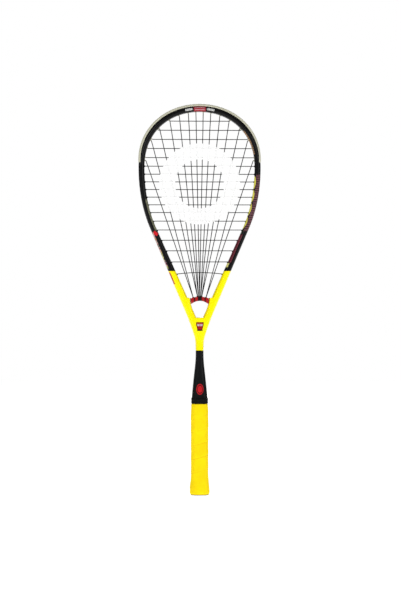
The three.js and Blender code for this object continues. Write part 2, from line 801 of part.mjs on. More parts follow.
// The rubber collar, with two moulded ribs, drawn in its place on top of the grip's end.
function collar() {
  const profile = [
    [160.5, 14.6, 0.2],
    [161.4, 14.9, 0.2],
    [163.6, 14.9, 0.2],
    [164.1, 14.65, 0.2],
    [166.4, 14.65, 0.2],
    [166.9, 14.9, 0.2],
    [168.8, 14.8, 0.2],
    [170.8, 14.4, 0.2],
    [170.8, 13.9],
    [160.5, 13.9],
  ];
  return skin(handleRings(profile), true);
}

// ---------------------------------------------------------------- materials
const finish = (color, roughness, metalness = 0) =>
  new THREE.MeshStandardMaterial({ color, roughness, metalness });

const MATERIALS = {
  carbon: finish("#101013", 0.3),
  bridge: finish("#c4161c", 0.45),
  grommet: finish("#131315", 0.6),
  bumper: finish("#c9c9bd", 0.5),
  string: finish("#2b2b2e", 0.4),
  foam: finish("#0d0d10", 0.35),
  plastic: finish("#18181a", 0.55),
  steel: finish("#a9abad", 0.3, 1),
  grip: finish("#ffd900", 0.75),
  tape: finish("#1b1b1c", 0.6),
  rubber: finish("#0e0e0f", 0.8),
};

// ---------------------------------------------------------------- assembly
const racket = new THREE.Group();
racket.position.z = -HAND_HEIGHT;

function add(name, geometry, material) {
  const mesh = new THREE.Mesh(geometry, material);
  mesh.name = name;
  racket.add(mesh);
}

add("frame", frame(), MATERIALS.carbon);
add("throat_bridge", throatBridge(), MATERIALS.bridge);
add("bridge_grommet_centre", centreGrommet(), MATERIALS.grommet);
add("bridge_grommet_left", sideGrommet(-1), MATERIALS.grommet);
add("bridge_grommet_right", sideGrommet(1), MATERIALS.grommet);
add("bumper_guard", bumperGuard(), MATERIALS.bumper);
for (const [name, side] of [
  ["left", -1],
  ["right", 1],
]) {
  add(`side_grommet_strip_${name}`, sideStrip(side), MATERIALS.grommet);
  add(`arm_grommet_${name}_upper`, armGrommet(CROSSES - 2, side), MATERIALS.grommet);
  add(`arm_grommet_${name}_lower`, armGrommet(CROSSES - 1, side), MATERIALS.grommet);
}
const mainKnots = [mainT[0], mainT.at(-1)].map((t) => ({ t, y: ROW }));
const crossKnots = [-crossT[0], -crossT.at(-1)].map((t) => ({ t, y: -ROW }));
add("main_string", strung(mainPath(), mainKnots), MATERIALS.string);
add("cross_string", strung(crossPath(), crossKnots), MATERIALS.string);
add("handle_pallet", pallet(), MATERIALS.foam);
add("butt_cap", buttCap(), MATERIALS.plastic);
for (const [name, where] of Object.entries(STAPLES)) {
  add(`butt_cap_staple_${name}`, staple(where), MATERIALS.steel);
}
add("grip", gripSleeve(), MATERIALS.grip);
add("finishing_tape", finishingTape(), MATERIALS.tape);
add("grip_collar", collar(), MATERIALS.rubber);

const part = new THREE.Group();
part.add(racket);
export default part;
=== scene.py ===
"""Looks of the squash racket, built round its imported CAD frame. Blender 4.5, metres, +Z up, face to -Y."""
import math

import bmesh
import bpy
import numpy as np
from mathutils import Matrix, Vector


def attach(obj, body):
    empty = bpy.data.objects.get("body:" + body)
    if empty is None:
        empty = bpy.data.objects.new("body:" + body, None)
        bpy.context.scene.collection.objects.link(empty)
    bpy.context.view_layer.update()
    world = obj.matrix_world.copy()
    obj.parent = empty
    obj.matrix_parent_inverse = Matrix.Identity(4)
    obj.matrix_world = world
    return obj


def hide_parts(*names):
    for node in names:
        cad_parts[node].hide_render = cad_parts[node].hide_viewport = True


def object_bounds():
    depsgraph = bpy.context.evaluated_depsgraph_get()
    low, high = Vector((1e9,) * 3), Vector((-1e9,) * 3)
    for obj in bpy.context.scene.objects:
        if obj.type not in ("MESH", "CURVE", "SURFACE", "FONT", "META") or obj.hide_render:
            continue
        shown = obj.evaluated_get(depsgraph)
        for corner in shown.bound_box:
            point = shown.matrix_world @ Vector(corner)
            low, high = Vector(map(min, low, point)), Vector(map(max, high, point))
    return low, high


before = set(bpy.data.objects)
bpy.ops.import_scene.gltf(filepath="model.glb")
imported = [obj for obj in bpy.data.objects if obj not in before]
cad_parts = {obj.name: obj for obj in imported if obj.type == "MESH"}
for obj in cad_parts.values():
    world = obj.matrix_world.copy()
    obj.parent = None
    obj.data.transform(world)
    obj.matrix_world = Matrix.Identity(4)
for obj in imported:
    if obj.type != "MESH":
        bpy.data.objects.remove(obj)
CAD_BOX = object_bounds()
MM = 0.001
HAND = 80.0  # the origin's height above the butt end, in mm; all heights below are above the butt end

# ---- sizes shared with the CAD, in mm
BEAM_OUTER, BUMPER_RISE, BUMPER_SEAT = 5.5, 3.1, 0.7
LINE_TOP, LINE_SIDE, SHOULDER_Z = 677.2, 102.0, 576.0
CROWN_ROUNDNESS, FLANK_ROUNDNESS = 0.53, 0.64
ARM_TOP, ARM_FOOT = (82.1, 470.0), (10.4, 301.3)
HEAD_DEPTH, ARM_DEPTH, ROUND_OVER = 9.5, 10.2, 4.9
GROOVE_FLOOR, GROOVE_HALF = 2.3, 2.95
STRIP_FLOOR, STRIP_TOP, STRIP_HALF = 2.55, 3.35, 2.6
BARREL_R, BORE_R, BARREL_STANDS, MOUTH_STANDS = 1.5, 0.95, 1.1, 1.9
BUMPER_END_Z, BUMPER_TAPER, FLANGE = 583.0, 3.2, 4.0
WEAVE, ROW, RUN_N = 0.77, 1.0, 4.3
MAIN_X = (6.4, 19.6, 35.5, 52.0, 70.0, 84.5)
CROSS_PITCH = (16, 16, 16, 16, 15, 14, 13.4, 13.4, 13.4, 13.4, 13.6, 15, 15.5, 18, 18.5, 19.5, 21)
FIRST_CROSS_Z, LAST_CROSS_BOW = 655.8, 2.3
MAINS, CROSSES, STRIP_LAST_CROSS = 14, len(CROSS_PITCH) + 1, 16
BRIDGE_Z, BRIDGE_DEPTH, BRIDGE_ROW, PAIR_STEP = 348.2, 8.6, 1.4, 1.9
SIDE_HOLE_X, SIDE_TILT = 11.7, math.radians(16)
SIDE_TOP_Z, CENTRE_TOP_Z = BRIDGE_Z - 0.3, BRIDGE_Z + 0.6
THROAT_FLOOR_Z, YOKE_TOP_Z, PAINT_STEP_Z = 311.5, 346.5, 253.8
PALLET_SLIM = 12.6 - 10.7

# ---- sizes of the looks, in mm
STRING_R, STRING_SIDES = 0.72, 8  # thicker than the CAD's strings, so that they show from afar
BEAM_POWER, BEAM_STEPS = 2.3, 10  # how square the beam's rounding is, and its points
VOXEL, POLISH_STEPS = 0.95, 5
TUNNEL = (320, 370)  # heights well below and above the bridge, between which a cut goes right through


def smooth(low, high, v):
    """0 below low, 1 above high, and an S-curve between them."""
    u = np.clip((np.asarray(v, float) - low) / (high - low), 0, 1)
    return u * u * (3 - 2 * u)


# ---- the line of the string holes
def make_line():
    """Points of the line from the top of the head down the right side, with their distance along it."""
    rise = LINE_TOP - SHOULDER_Z
    u = np.linspace(0, 1, 500)[:, None]
    p = np.array(
        [
            (0, LINE_TOP),
            (CROWN_ROUNDNESS * LINE_SIDE, LINE_TOP),
            (LINE_SIDE, SHOULDER_Z + FLANK_ROUNDNESS * rise),
            (LINE_SIDE, SHOULDER_Z),
        ]
    )
    crown = (1 - u) ** 3 * p[0] + 3 * u * (1 - u) ** 2 * p[1] + 3 * u**2 * (1 - u) * p[2] + u**3 * p[3]
    lean = (ARM_TOP[1] - ARM_FOOT[1]) / (ARM_TOP[0] - ARM_FOOT[0])
    bend = np.array((LINE_SIDE, ARM_TOP[1] + (LINE_SIDE - ARM_TOP[0]) * lean))
    flank = (1 - u) ** 2 * p[3] + 2 * u * (1 - u) * bend + u**2 * np.array(ARM_TOP)
    arm = (1 - u) * np.array(ARM_TOP) + u * np.array(ARM_FOOT)
    points = np.vstack([crown, flank[1:], arm[1:]])
    along = np.concatenate([[0], np.cumsum(np.linalg.norm(np.diff(points, axis=0), axis=1))])
    return points, along


LINE, ALONG = make_line()
LENGTH = ALONG[-1]
HEADING = np.gradient(LINE, ALONG, axis=0)
HEADING /= np.linalg.norm(HEADING, axis=1)[:, None]
S_SHOULDER = ALONG[499]
S_ARM = ALONG[998]


def station(s):
    """x, z and the outward direction at a distance s along the line; s is negative on the left side."""
    a = abs(s)
    side = -1 if s < 0 else 1
    x, z = (np.interp(a, ALONG, LINE[:, i]) for i in (0, 1))
    hx, hz = (np.interp(a, ALONG, HEADING[:, i]) for i in (0, 1))
    return side * x, z, -side * hz, hx


def place(s, n, y):
    x, z, nx, nz = station(s)
    return np.array((x + n * nx, y, z + n * nz))


def inner_half(s):
    a = abs(s)
    if a > S_ARM:
        return 4.9 + 3.4 * (a - S_ARM) / (LENGTH - S_ARM)
    return 5.4 - 0.5 * max(0, (a - S_SHOULDER) / (S_ARM - S_SHOULDER))


def half_depth(s):
    return HEAD_DEPTH + (ARM_DEPTH - HEAD_DEPTH) * max(0, (abs(s) - S_ARM) / (LENGTH - S_ARM))


def solve(measure, target, low, high):
    rising = measure(high) > measure(low)
    for _ in range(50):
        middle = (low + high) / 2
        if (measure(middle) < target) == rising:
            low = middle
        else:
            high = middle
    return (low + high) / 2


def mouth(s):
    return place(s, -inner_half(s) - MOUTH_STANDS, 0)


# ---- where the strings go
CROSS_Z = [FIRST_CROSS_Z - sum(CROSS_PITCH[:k]) for k in range(CROSSES)]
CROSS_S = [solve(lambda s: mouth(s)[2], z, 1, LENGTH) for z in CROSS_Z]
HALF_MAIN_S = [solve(lambda s: mouth(s)[0], x, 0, S_SHOULDER) for x in MAIN_X]
HALF_MAIN_S.append(solve(lambda s: mouth(s)[2], CROSS_Z[4] - 5, 1, LENGTH))
MAIN_S = [-s for s in reversed(HALF_MAIN_S)] + HALF_MAIN_S
BUMPER_S = solve(lambda s: station(s)[1], BUMPER_END_Z, 1, LENGTH)


def is_outer(i):
    return i < 2 or i >= MAINS - 2


def bridge_top(i):
    pair = i // 2 - (MAINS / 2 - 1) / 2
    x = math.copysign(SIDE_HOLE_X, pair) if is_outer(i) else pair * PAIR_STEP
    return np.array((x, -BRIDGE_ROW if i % 2 else BRIDGE_ROW, SIDE_TOP_Z if is_outer(i) else CENTRE_TOP_Z))


def bridge_bottom(i):
    drop = 7.8 if is_outer(i) else 6.8
    top = bridge_top(i)
    shift = -math.copysign(drop * math.tan(SIDE_TILT), top[0]) if is_outer(i) else 0
    return top + (shift, 0, -drop)


def crossing(i, k):
    top, bottom = mouth(MAIN_S[i]), bridge_top(i)
    z = CROSS_Z[k]
    across = lambda h: bottom[0] + (top[0] - bottom[0]) * (h - bottom[2]) / (top[2] - bottom[2])
    if k == CROSSES - 1:
        z += LAST_CROSS_BOW * (1 - (across(z) / mouth(CROSS_S[k])[0]) ** 2)
    return np.array((across(z), 0, z))


def crosses(i, k):
    return CROSS_Z[k] < mouth(MAIN_S[i])[2] - 1.5


def weave_through(knots, steps=4):
    """Points through the strand's knots, with its height over the face eased from each to the next."""
    points = [knots[0]]
    for a, b in zip(knots, knots[1:]):
        for j in range(1, steps + 1):
            u = j / steps
            p = a + (b - a) * u
            p[1] = a[1] + (b[1] - a[1]) * (1 - math.cos(math.pi * u)) / 2
            points.append(p)
    return points


def main_strand(i):
    s = MAIN_S[i]
    knots = [place(s, -inner_half(s) - MOUTH_STANDS, ROW)]
    for k in range(CROSSES):
        if crosses(i, k):
            p = crossing(i, k)
            p[1] = WEAVE if (i + k) % 2 else -WEAVE
            knots.append(p)
    knots.append(bridge_top(i))
    return [place(s, RUN_N, ROW)] + weave_through(knots) + [bridge_bottom(i)]


def cross_strand(k):
    s = CROSS_S[k]
    ends = [place(side * s, -inner_half(s) - MOUTH_STANDS, -ROW) for side in (-1, 1)]
    knots = [ends[0]]
    for i in range(MAINS):
        if crosses(i, k):
            p = crossing(i, k)
            p[1] = -WEAVE if (i + k) % 2 else WEAVE
            knots.append(p)
    knots.append(ends[1])
    return [place(-s, RUN_N, -ROW)] + weave_through(knots) + [place(s, RUN_N, -ROW)]


def outside_run(a, b, y):
    count = max(2, int(abs(b - a) / 4))
    return [place(s, RUN_N, y) for s in np.linspace(a, b, count + 1)[1:-1]]


def main_path():
    points = []
    for i in range(MAINS):
        strand = main_strand(i)
        if i % 2 == 0:
            low = (bridge_bottom(i) + bridge_bottom(i + 1)) / 2
            points += strand + [low - (0, 0, 0.9)]
        else:
            points += strand[::-1]
            if i < MAINS - 1:
                points += outside_run(MAIN_S[i], MAIN_S[i + 1], ROW)
    return points


def cross_path():
    points = []
    for k in range(CROSSES):
        strand = cross_strand(k)
        points += strand[::-1] if k % 2 else strand
        if k < CROSSES - 1:
            side = -1 if k % 2 else 1
            points += outside_run(side * CROSS_S[k], side * CROSS_S[k + 1], -ROW)
    return points


def round_corners(points, reach=1.1):
    """Each sharp turn becomes a short arc."""
    out = [points[0]]
    for before, p, after in zip(points, points[1:], points[2:]):
        a, b = before - p, after - p
        la, lb = np.linalg.norm(a), np.linalg.norm(b)
        if la < 1e-6 or lb < 1e-6:
            continue
        if np.dot(a, b) / (la * lb) < -0.9:
            out.append(p)
            continue
        start, end = p + a / la * min(reach, 0.45 * la), p + b / lb * min(reach, 0.45 * lb)
        for u in np.linspace(0, 1, 5):
            out.append((1 - u) ** 2 * start + 2 * u * (1 - u) * p + u * u * end)
    out.append(points[-1])
    return out


# ---- mesh helpers
def new_object(name, verts, faces, body="racket", slot=None, replaces=()):
    """A smooth-shaded mesh object from points in mm above the butt end."""
    verts = np.array(verts, float)
    verts[:, 2] -= HAND
    mesh = bpy.data.meshes.new(name)
    mesh.from_pydata((verts * MM).tolist(), [], [list(map(int, f)) for f in faces])
    obj = bpy.data.objects.new(name, mesh)
    bpy.context.scene.collection.objects.link(obj)
    face_outwards(mesh)
    if slot:
        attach(obj, body)
    if replaces:
        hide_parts(*replaces)
    return obj


def face_outwards(mesh):
    bm = bmesh.new()
    bm.from_mesh(mesh)
    bmesh.ops.recalc_face_normals(bm, faces=bm.faces)
    bm.to_mesh(mesh)
    bm.free()
    mesh.shade_smooth()


def loft(rings, tube=False):
    """Quads between rings of equally many points, closed at both ends or, with tube, into a loop."""
    rings = np.array(rings, float)
    count, size = rings.shape[:2]
    faces = []
    for i in range(count if tube else count - 1):
        low, high = i * size, ((i + 1) % count) * size
        for j in range(size):
            k = (j + 1) % size
            faces.append((low + j, low + k, high + k, high + j))
    if not tube:
        faces.append(tuple(range(size - 1, -1, -1)))
        faces.append(tuple(range((count - 1) * size, count * size)))
    return rings.reshape(-1, 3), faces


def merged(*shapes):
    """Several (points, faces) as one."""
    verts, faces, base = [], [], 0
    for v, f in shapes:
        verts.append(np.asarray(v, float))
        faces += [tuple(i + base for i in face) for face in f]
        base += len(v)
    return np.vstack(verts), faces


def tube_shape(points, radius, sides):
    """A round tube through points, its section carried along without twist."""
    points = np.array(points)
    run = np.diff(points, axis=0)
    run /= np.linalg.norm(run, axis=1)[:, None]
    tangents = np.vstack([run[:1], run[:-1] + run[1:], run[-1:]])
    tangents /= np.linalg.norm(tangents, axis=1)[:, None]
    side = np.cross(tangents[0], (0, 1, 0))
    angles = np.linspace(0, 2 * math.pi, sides, endpoint=False)
    rings = []
    for p, t in zip(points, tangents):
        side = side - np.dot(side, t) * t
        side /= np.linalg.norm(side)
        other = np.cross(t, side)
        rings.append(p + radius * (np.outer(np.cos(angles), side) + np.outer(np.sin(angles), other)))
    return loft(rings)


def rod_shape(a, b, profile, sides=20):
    """A turned rod from a to b; profile is (share of the way, radius) pairs."""
    axis = (b - a) / np.linalg.norm(b - a)
    side = np.cross(axis, (0, 1, 0) if abs(axis[1]) < 0.9 else (1, 0, 0))
    side /= np.linalg.norm(side)
    other = np.cross(axis, side)
    angles = np.linspace(0, 2 * math.pi, sides, endpoint=False)
    turn = np.outer(np.cos(angles), side) + np.outer(np.sin(angles), other)
    return loft([a + (b - a) * u + r * turn for u, r in profile])


def box_shape(low, high):
    corners = [(x, y, z) for z in (low[2], high[2]) for y in (low[1], high[1]) for x in (low[0], high[0])]
    faces = [(0, 2, 3, 1), (4, 5, 7, 6), (0, 1, 5, 4), (2, 6, 7, 3), (0, 4, 6, 2), (1, 3, 7, 5)]
    return np.array(corners, float), faces


def rounded_loop(points, passes=2):
    """Chaikin's corner cutting on a closed loop."""
    loop = np.array(points, float)
    for _ in range(passes):
        after = np.roll(loop, -1, axis=0)
        loop = np.stack([0.75 * loop + 0.25 * after, 0.25 * loop + 0.75 * after], axis=1).reshape(-1, 2)
    return loop


def settle(obj):
    """Applies the object's modifiers."""
    bpy.context.view_layer.update()
    depsgraph = bpy.context.evaluated_depsgraph_get()
    mesh = bpy.data.meshes.new_from_object(obj.evaluated_get(depsgraph))
    old = obj.data
    obj.modifiers.clear()
    obj.data = mesh
    mesh.name = obj.name
    bpy.data.meshes.remove(old)


def combine(obj, shape, operation):
    """Joins or cuts obj with a (points, faces) shape."""
    tool = new_object("tool", *shape)
    modifier = obj.modifiers.new("combine", "BOOLEAN")
    modifier.operation = operation
    modifier.solver = "MANIFOLD"
    modifier.object = tool
    settle(obj)
    bpy.data.objects.remove(tool)


def soften(obj, width, segments):
    modifier = obj.modifiers.new("bevel", "BEVEL")
    modifier.width = width * MM
    modifier.segments = segments
    modifier.limit_method = "ANGLE"
    modifier.angle_limit = math.radians(35)
    settle(obj)
    return obj


# ---- frame
def quarter(across, deep, power, steps):
    """A quarter of a rounded section, from its side (deep 0) to its face (across 0)."""
    turn = np.linspace(0, math.pi / 2, steps)
    return [(across * math.cos(t) ** (2 / power), deep * math.sin(t) ** (2 / power)) for t in turn]


def beam_ring(s):
    inner, deep = inner_half(s), half_depth(s)
    outer = BEAM_OUTER - BUMPER_SEAT if abs(s) < BUMPER_S else BEAM_OUTER
    grooved = abs(s) < CROSS_S[-1] + 12
    floor = GROOVE_FLOOR if grooved else outer - 0.05
    half = [(floor, 0), (floor, GROOVE_HALF * 0.5), (floor, GROOVE_HALF)]
    corner = quarter(ROUND_OVER, deep, BEAM_POWER, BEAM_STEPS)
    for across, y in corner:
        if y > GROOVE_HALF + 0.15:
            half.append((outer - ROUND_OVER + across, y))
    half = half[:3] + [(outer, GROOVE_HALF + 0.1)] + half[-8:]
    half += [(-inner + ROUND_OVER - across, y) for across, y in corner[::-1]]
    ring = half + [(n, -y) for n, y in half[-2:0:-1]]
    return [place(s, n, y) for n, y in ring]


def slab_ring(x0, x1, z, deep, rounding):
    """A level ring from x0 to x1, with its edges rounded over."""
    corner = quarter(rounding, deep, BEAM_POWER, 8)
    right = [(x1 - rounding + a, y) for a, y in corner]
    left = [(x0 + rounding - a, y) for a, y in corner[::-1]]
    half = right + left
    ring = half + [(x, -y) for x, y in half[-2:0:-1]]
    return [(x, y, z) for x, y in ring]


ARM_SLOPE = (ARM_TOP[0] - ARM_FOOT[0]) / (ARM_TOP[1] - ARM_FOOT[1])


def arm_line_x(z, n=0.0):
    """x of the right arm's line, moved outwards by n, at a height."""
    return ARM_FOOT[0] + (z - ARM_FOOT[1]) * ARM_SLOPE + n * math.hypot(1, ARM_SLOPE)


def yoke_shape():
    heights = [PAINT_STEP_Z, 262, 270, 278, 286, 294, 301, THROAT_FLOOR_Z]
    widths = [6.85, 6.95, 7.5, 9.1, 11.7, 14.4, 17, arm_line_x(THROAT_FLOOR_Z, BEAM_OUTER)]
    depths = [9.2, 9.2, 9.3, 9.6, 10.0, 10.2, 10.2, 10.2]
    rings = []
    for z in np.linspace(PAINT_STEP_Z, THROAT_FLOOR_Z, 60):
        wide, deep = ease(z, heights, widths), ease(z, heights, depths)
        rings.append(slab_ring(-wide, wide, z, deep, ROUND_OVER))
    return loft(rings)


def ease(z, heights, values):
    """A smooth curve through values at heights."""
    slopes = np.gradient(np.array(values, float), np.array(heights, float))
    i = int(np.clip(np.searchsorted(heights, z) - 1, 0, len(heights) - 2))
    step = heights[i + 1] - heights[i]
    u = (z - heights[i]) / step
    return (
        (2 * u**3 - 3 * u**2 + 1) * values[i]
        + (u**3 - 2 * u**2 + u) * step * slopes[i]
        + (3 * u**2 - 2 * u**3) * values[i + 1]
        + (u**3 - u**2) * step * slopes[i + 1]
    )


def prong_shape(side):
    """The shoulder beside the throat opening, which carries one end of the bridge."""
    heights, insides = (THROAT_FLOOR_Z, 316.5, 336, YOKE_TOP_Z), (8.4, 9.8, 15.5, 16.95)
    deep, rounding, thinnest = 9.4, 2.4, 6
    rings = []
    for z in np.linspace(THROAT_FLOOR_Z - 8, YOKE_TOP_Z, 40):
        corner = 2.8 * (1 - smooth(THROAT_FLOOR_Z - 1, THROAT_FLOOR_Z + 5, z)) ** 2
        inside = np.interp(z, heights, insides) - corner
        outside = arm_line_x(z, 0)
        ring = slab_ring(inside, max(outside, inside + thinnest), z, deep, rounding)
        rings.append([(side * x, y, h) for x, y, h in ring])
    return loft(rings)


def build_frame():
    stations = np.arange(-LENGTH, LENGTH + 1, 2.0)
    beam = loft([beam_ring(s) for s in stations])
    obj = new_object(
        "frame_shell",
        *merged(beam, yoke_shape(), prong_shape(1), prong_shape(-1)),
        slot="frame_paint",
        replaces=["frame"],
    )
    remesh = obj.modifiers.new("remesh", "REMESH")
    remesh.mode = "VOXEL"
    remesh.voxel_size = VOXEL * MM
    polish = obj.modifiers.new("polish", "SMOOTH")
    polish.factor, polish.iterations = 0.5, POLISH_STEPS
    settle(obj)
    store_line_coordinates(obj)
    obj.data.shade_smooth()
    return obj


def store_line_coordinates(obj):
    """Each vertex keeps its distance from the top along the hole line, and outwards from the line, in mm."""
    co = np.zeros(len(obj.data.vertices) * 3)
    obj.data.vertices.foreach_get("co", co)
    co = co.reshape(-1, 3) / MM
    flat = np.stack([np.abs(co[:, 0]), co[:, 2] + HAND], axis=1)
    along, across = np.empty(len(co)), np.empty(len(co))
    batch = 4000
    for start in range(0, len(co), batch):
        part = flat[start : start + batch]
        gap = ((part[:, None, :] - LINE[None, ::2, :]) ** 2).sum(axis=2)
        near = 2 * gap.argmin(axis=1)
        offset = part - LINE[near]
        heading = HEADING[near]
        along[start : start + batch] = ALONG[near] + (offset * heading).sum(axis=1)
        across[start : start + batch] = -offset[:, 0] * heading[:, 1] + offset[:, 1] * heading[:, 0]
    for name, values in (("along", along), ("across", across)):
        obj.data.attributes.new(name, "FLOAT", "POINT").data.foreach_set("value", values)


# ---- grommet strips and bumper
def barrel_tools(holes):
    """The barrels' outsides and their bores, as two shapes."""
    outsides, bores = [], []
    for s, y in holes:
        tip = place(s, -inner_half(s) - BARREL_STANDS, y)
        root = place(s, STRIP_FLOOR + 0.4, y)
        outsides.append(
            rod_shape(tip, root, [(0, 1.2), (0.02, 1.38), (0.05, BARREL_R), (0.9, BARREL_R + 0.1), (1, 1.75)])
        )
        inside, outside = place(s, -inner_half(s) - 4, y), place(s, STRIP_TOP + 2, y)
        bores.append(rod_shape(inside, outside, [(0, BORE_R), (1, BORE_R)], 16))
    return merged(*outsides), merged(*bores)


def strip_piece(name, node, section, s_from, s_to, holes, slot):
    stations = np.linspace(s_from, s_to, max(4, int(abs(s_to - s_from) / 2)))
    rings = [[place(s, n, y) for n, y in section(s)] for s in stations]
    obj = new_object(name, *loft(rings), slot=slot, replaces=[node])
    outsides, bores = barrel_tools(holes)
    combine(obj, outsides, "UNION")
    combine(obj, bores, "DIFFERENCE")
    obj.data.shade_smooth()
    return obj


def flat_section(s):
    half = [(STRIP_TOP, 0.0), (STRIP_TOP, STRIP_HALF), (STRIP_FLOOR, STRIP_HALF), (STRIP_FLOOR, 0.0)]
    return rounded_loop(half[:3] + [(n, -y) for n, y in half[2:0:-1]], 2)


def bumper_section(s):
    """The rails stand proud at the top of the head; at the ends their lips reach over the frame instead."""
    rise = math.cos(math.pi / 2 * min(1, abs(s) / BUMPER_S) ** BUMPER_TAPER)
    rail, seat = BEAM_OUTER + BUMPER_RISE * rise, BEAM_OUTER - BUMPER_SEAT
    lift = 0.35 * math.sin(math.pi * rise)

    def between(top, end):
        return [rise * t + (1 - rise) * e + share * lift for t, e, share in zip(top, end, (0.5, 0.87))]

    half = [
        (STRIP_TOP, 2.3),
        (rail - 0.2, 2.4),
        (rail, 3.2),
        (rail, 4.6),
        (rail - 0.45, 6.2),
        between((6.3, 7.5), (4.0, 8.75)),
        between((4.9, 7.6), (2.4, 9.6)),
        between((4.6, 7.0), (2.2, 9.1)),
        between((4.65, 6.2), (3.5, 8.4)),
        (seat - 0.05, 4.9),
        (seat + 0.3, 2.7),
        (STRIP_FLOOR, STRIP_HALF),
    ]
    return rounded_loop(half + [(n, -y) for n, y in half[::-1]], 2)


def build_grommets():
    pieces = []
    under = [s for s in CROSS_S if s < BUMPER_S]
    holes = [(s, ROW) for s in MAIN_S] + [(side * s, -ROW) for s in under for side in (-1, 1)]
    end = BUMPER_S - 0.3
    pieces.append(strip_piece("bumper", "bumper_guard", bumper_section, -end, end, holes, "bumper"))
    for side, word in ((-1, "left"), (1, "right")):
        sides = [s for s in CROSS_S[:STRIP_LAST_CROSS] if s > BUMPER_S]
        ends = side * (sides[0] - FLANGE), side * (sides[-1] + FLANGE)
        holes = [(side * s, -ROW) for s in sides]
        node = f"side_grommet_strip_{word}"
        pieces.append(strip_piece(f"strip_{word}", node, flat_section, *ends, holes, "grommet"))
        for s, rank in ((CROSS_S[-2], "upper"), (CROSS_S[-1], "lower")):
            ends = side * (s - FLANGE), side * (s + FLANGE)
            node = f"arm_grommet_{word}_{rank}"
            holes = [(side * s, -ROW)]
            pieces.append(strip_piece(f"single_{word}_{rank}", node, flat_section, *ends, holes, "grommet"))
    return pieces


# ---- strings
def knot_shapes(s, y):
    """A tie-off: two hitches drawn tight round the string's end."""
    shapes = []
    for n, ring, thick in ((4.15, 0.62, 0.5), (4.75, 0.5, 0.5)):
        centre = place(s, n, y)
        x, z, nx, nz = station(s)
        u, v = np.array((nz, 0, -nx)), np.array((0, 1, 0))
        turn = np.linspace(0, 2 * math.pi, 17)[:-1]
        path = [centre + ring * (math.cos(t) * u + math.sin(t) * v) for t in turn]
        rings = []
        for p, t in zip(path, turn):
            radial = math.cos(t) * u + math.sin(t) * v
            angles = np.linspace(0, 2 * math.pi, 8, endpoint=False)
            up = np.array((nx, 0, nz))
            rings.append([p + thick * (math.cos(a) * radial + math.sin(a) * up) for a in angles])
        shapes.append(loft(rings, tube=True))
    return shapes


def build_strings():
    knots = {
        "main": [(MAIN_S[0], ROW), (MAIN_S[-1], ROW)],
        "cross": [(-CROSS_S[0], -ROW), (-CROSS_S[-1], -ROW)],
    }
    made = []
    for word, path in (("main", main_path()), ("cross", cross_path())):
        ends = [place(s, 5.0, y) for s, y in knots[word]]
        points = round_corners([ends[0]] + path + [ends[1]])
        shapes = [tube_shape(points, STRING_R, STRING_SIDES)]
        for s, y in knots[word]:
            shapes += knot_shapes(s, y)
        obj = new_object(f"{word}_strings", *merged(*shapes), slot="string", replaces=[f"{word}_string"])
        made.append(obj)
    return made


# ---- throat bridge
def arc_x_z(end_x, end_z, mid_z, count=25):
    """Points of the arch from one end to the other."""
    return [(x, mid_z + (end_z - mid_z) * (x / end_x) ** 2) for x in np.linspace(-end_x, end_x, count)]


def build_bridge():
    top = arc_x_z(16.15, 345.4, BRIDGE_Z)
    foot = arc_x_z(14.9, 335.6, 340.9)[::-1]
    outline = top + foot
    rings = [[(x, y, z) for x, z in outline] for y in (-BRIDGE_DEPTH, BRIDGE_DEPTH)]
    obj = new_object("bridge", *loft(rings), slot="bridge_paint", replaces=["throat_bridge"])
    slots = [box_shape((-5.5, -3.1, TUNNEL[0]), (5.5, 3.1, TUNNEL[1]))]
    slots += [leaning_box(3.7, 6.2, 40, side) for side in (-1, 1)]
    for shape in slots:
        combine(obj, shape, "DIFFERENCE")
    soften(obj, 0.9, 3)
    return obj


def leaning_box(wide, deep, tall, side, y=0.0):
    verts, faces = box_shape((-wide / 2, y - deep / 2, -tall / 2), (wide / 2, y + deep / 2, tall / 2))
    c, s = math.cos(side * SIDE_TILT), math.sin(side * SIDE_TILT)
    x, z = verts[:, 0].copy(), verts[:, 2].copy()
    verts[:, 0] = c * x + s * z + side * (SIDE_HOLE_X - 3.7 * math.tan(SIDE_TILT))
    verts[:, 2] = -s * x + c * z + SIDE_TOP_Z - 3.7
    return verts, faces


def build_bridge_grommets():
    made = []
    middle = BRIDGE_Z - 2.3
    centre = new_object(
        "bridge_insert_centre",
        *box_shape((-5.2, -2.8, middle - 3.4), (5.2, 2.8, middle + 3.4)),
        slot="grommet",
        replaces=["bridge_grommet_centre"],
    )
    wide = ((MAINS / 2 - 3) * PAIR_STEP + 1.75) / 2
    for row in (-BRIDGE_ROW, BRIDGE_ROW):
        slot = box_shape((-wide, row - 0.875, TUNNEL[0]), (wide, row + 0.875, TUNNEL[1]))
        combine(centre, slot, "DIFFERENCE")
    made.append(soften(centre, 0.35, 2))
    for side, word in ((-1, "left"), (1, "right")):
        obj = new_object(
            f"bridge_insert_{word}",
            *leaning_box(3.1, 5.6, 6.6, side),
            slot="grommet",
            replaces=[f"bridge_grommet_{word}"],
        )
        for row in (-BRIDGE_ROW, BRIDGE_ROW):
            combine(obj, leaning_box(1.9, 1.75, 30, side, row), "DIFFERENCE")
        made.append(soften(obj, 0.3, 2))
    return made


# ---- handle
TURN = np.linspace(0, 2 * math.pi, 96, endpoint=False)


def octagon(a, b):
    """A bevelled box's distance from its axis in each direction of TURN, with its corners eased."""
    bevel = 0.42 * b
    c, s = np.abs(np.cos(TURN)) + 1e-9, np.abs(np.sin(TURN)) + 1e-9
    reach = np.minimum(np.minimum(a / c, b / s), (a + b - bevel) / (c + s))
    return (np.roll(reach, 1) + np.roll(reach, -1) + 2 * reach) / 4


def oval(a, b):
    power = 2.5
    return (np.abs(np.cos(TURN) / a) ** power + np.abs(np.sin(TURN) / b) ** power) ** (-1 / power)


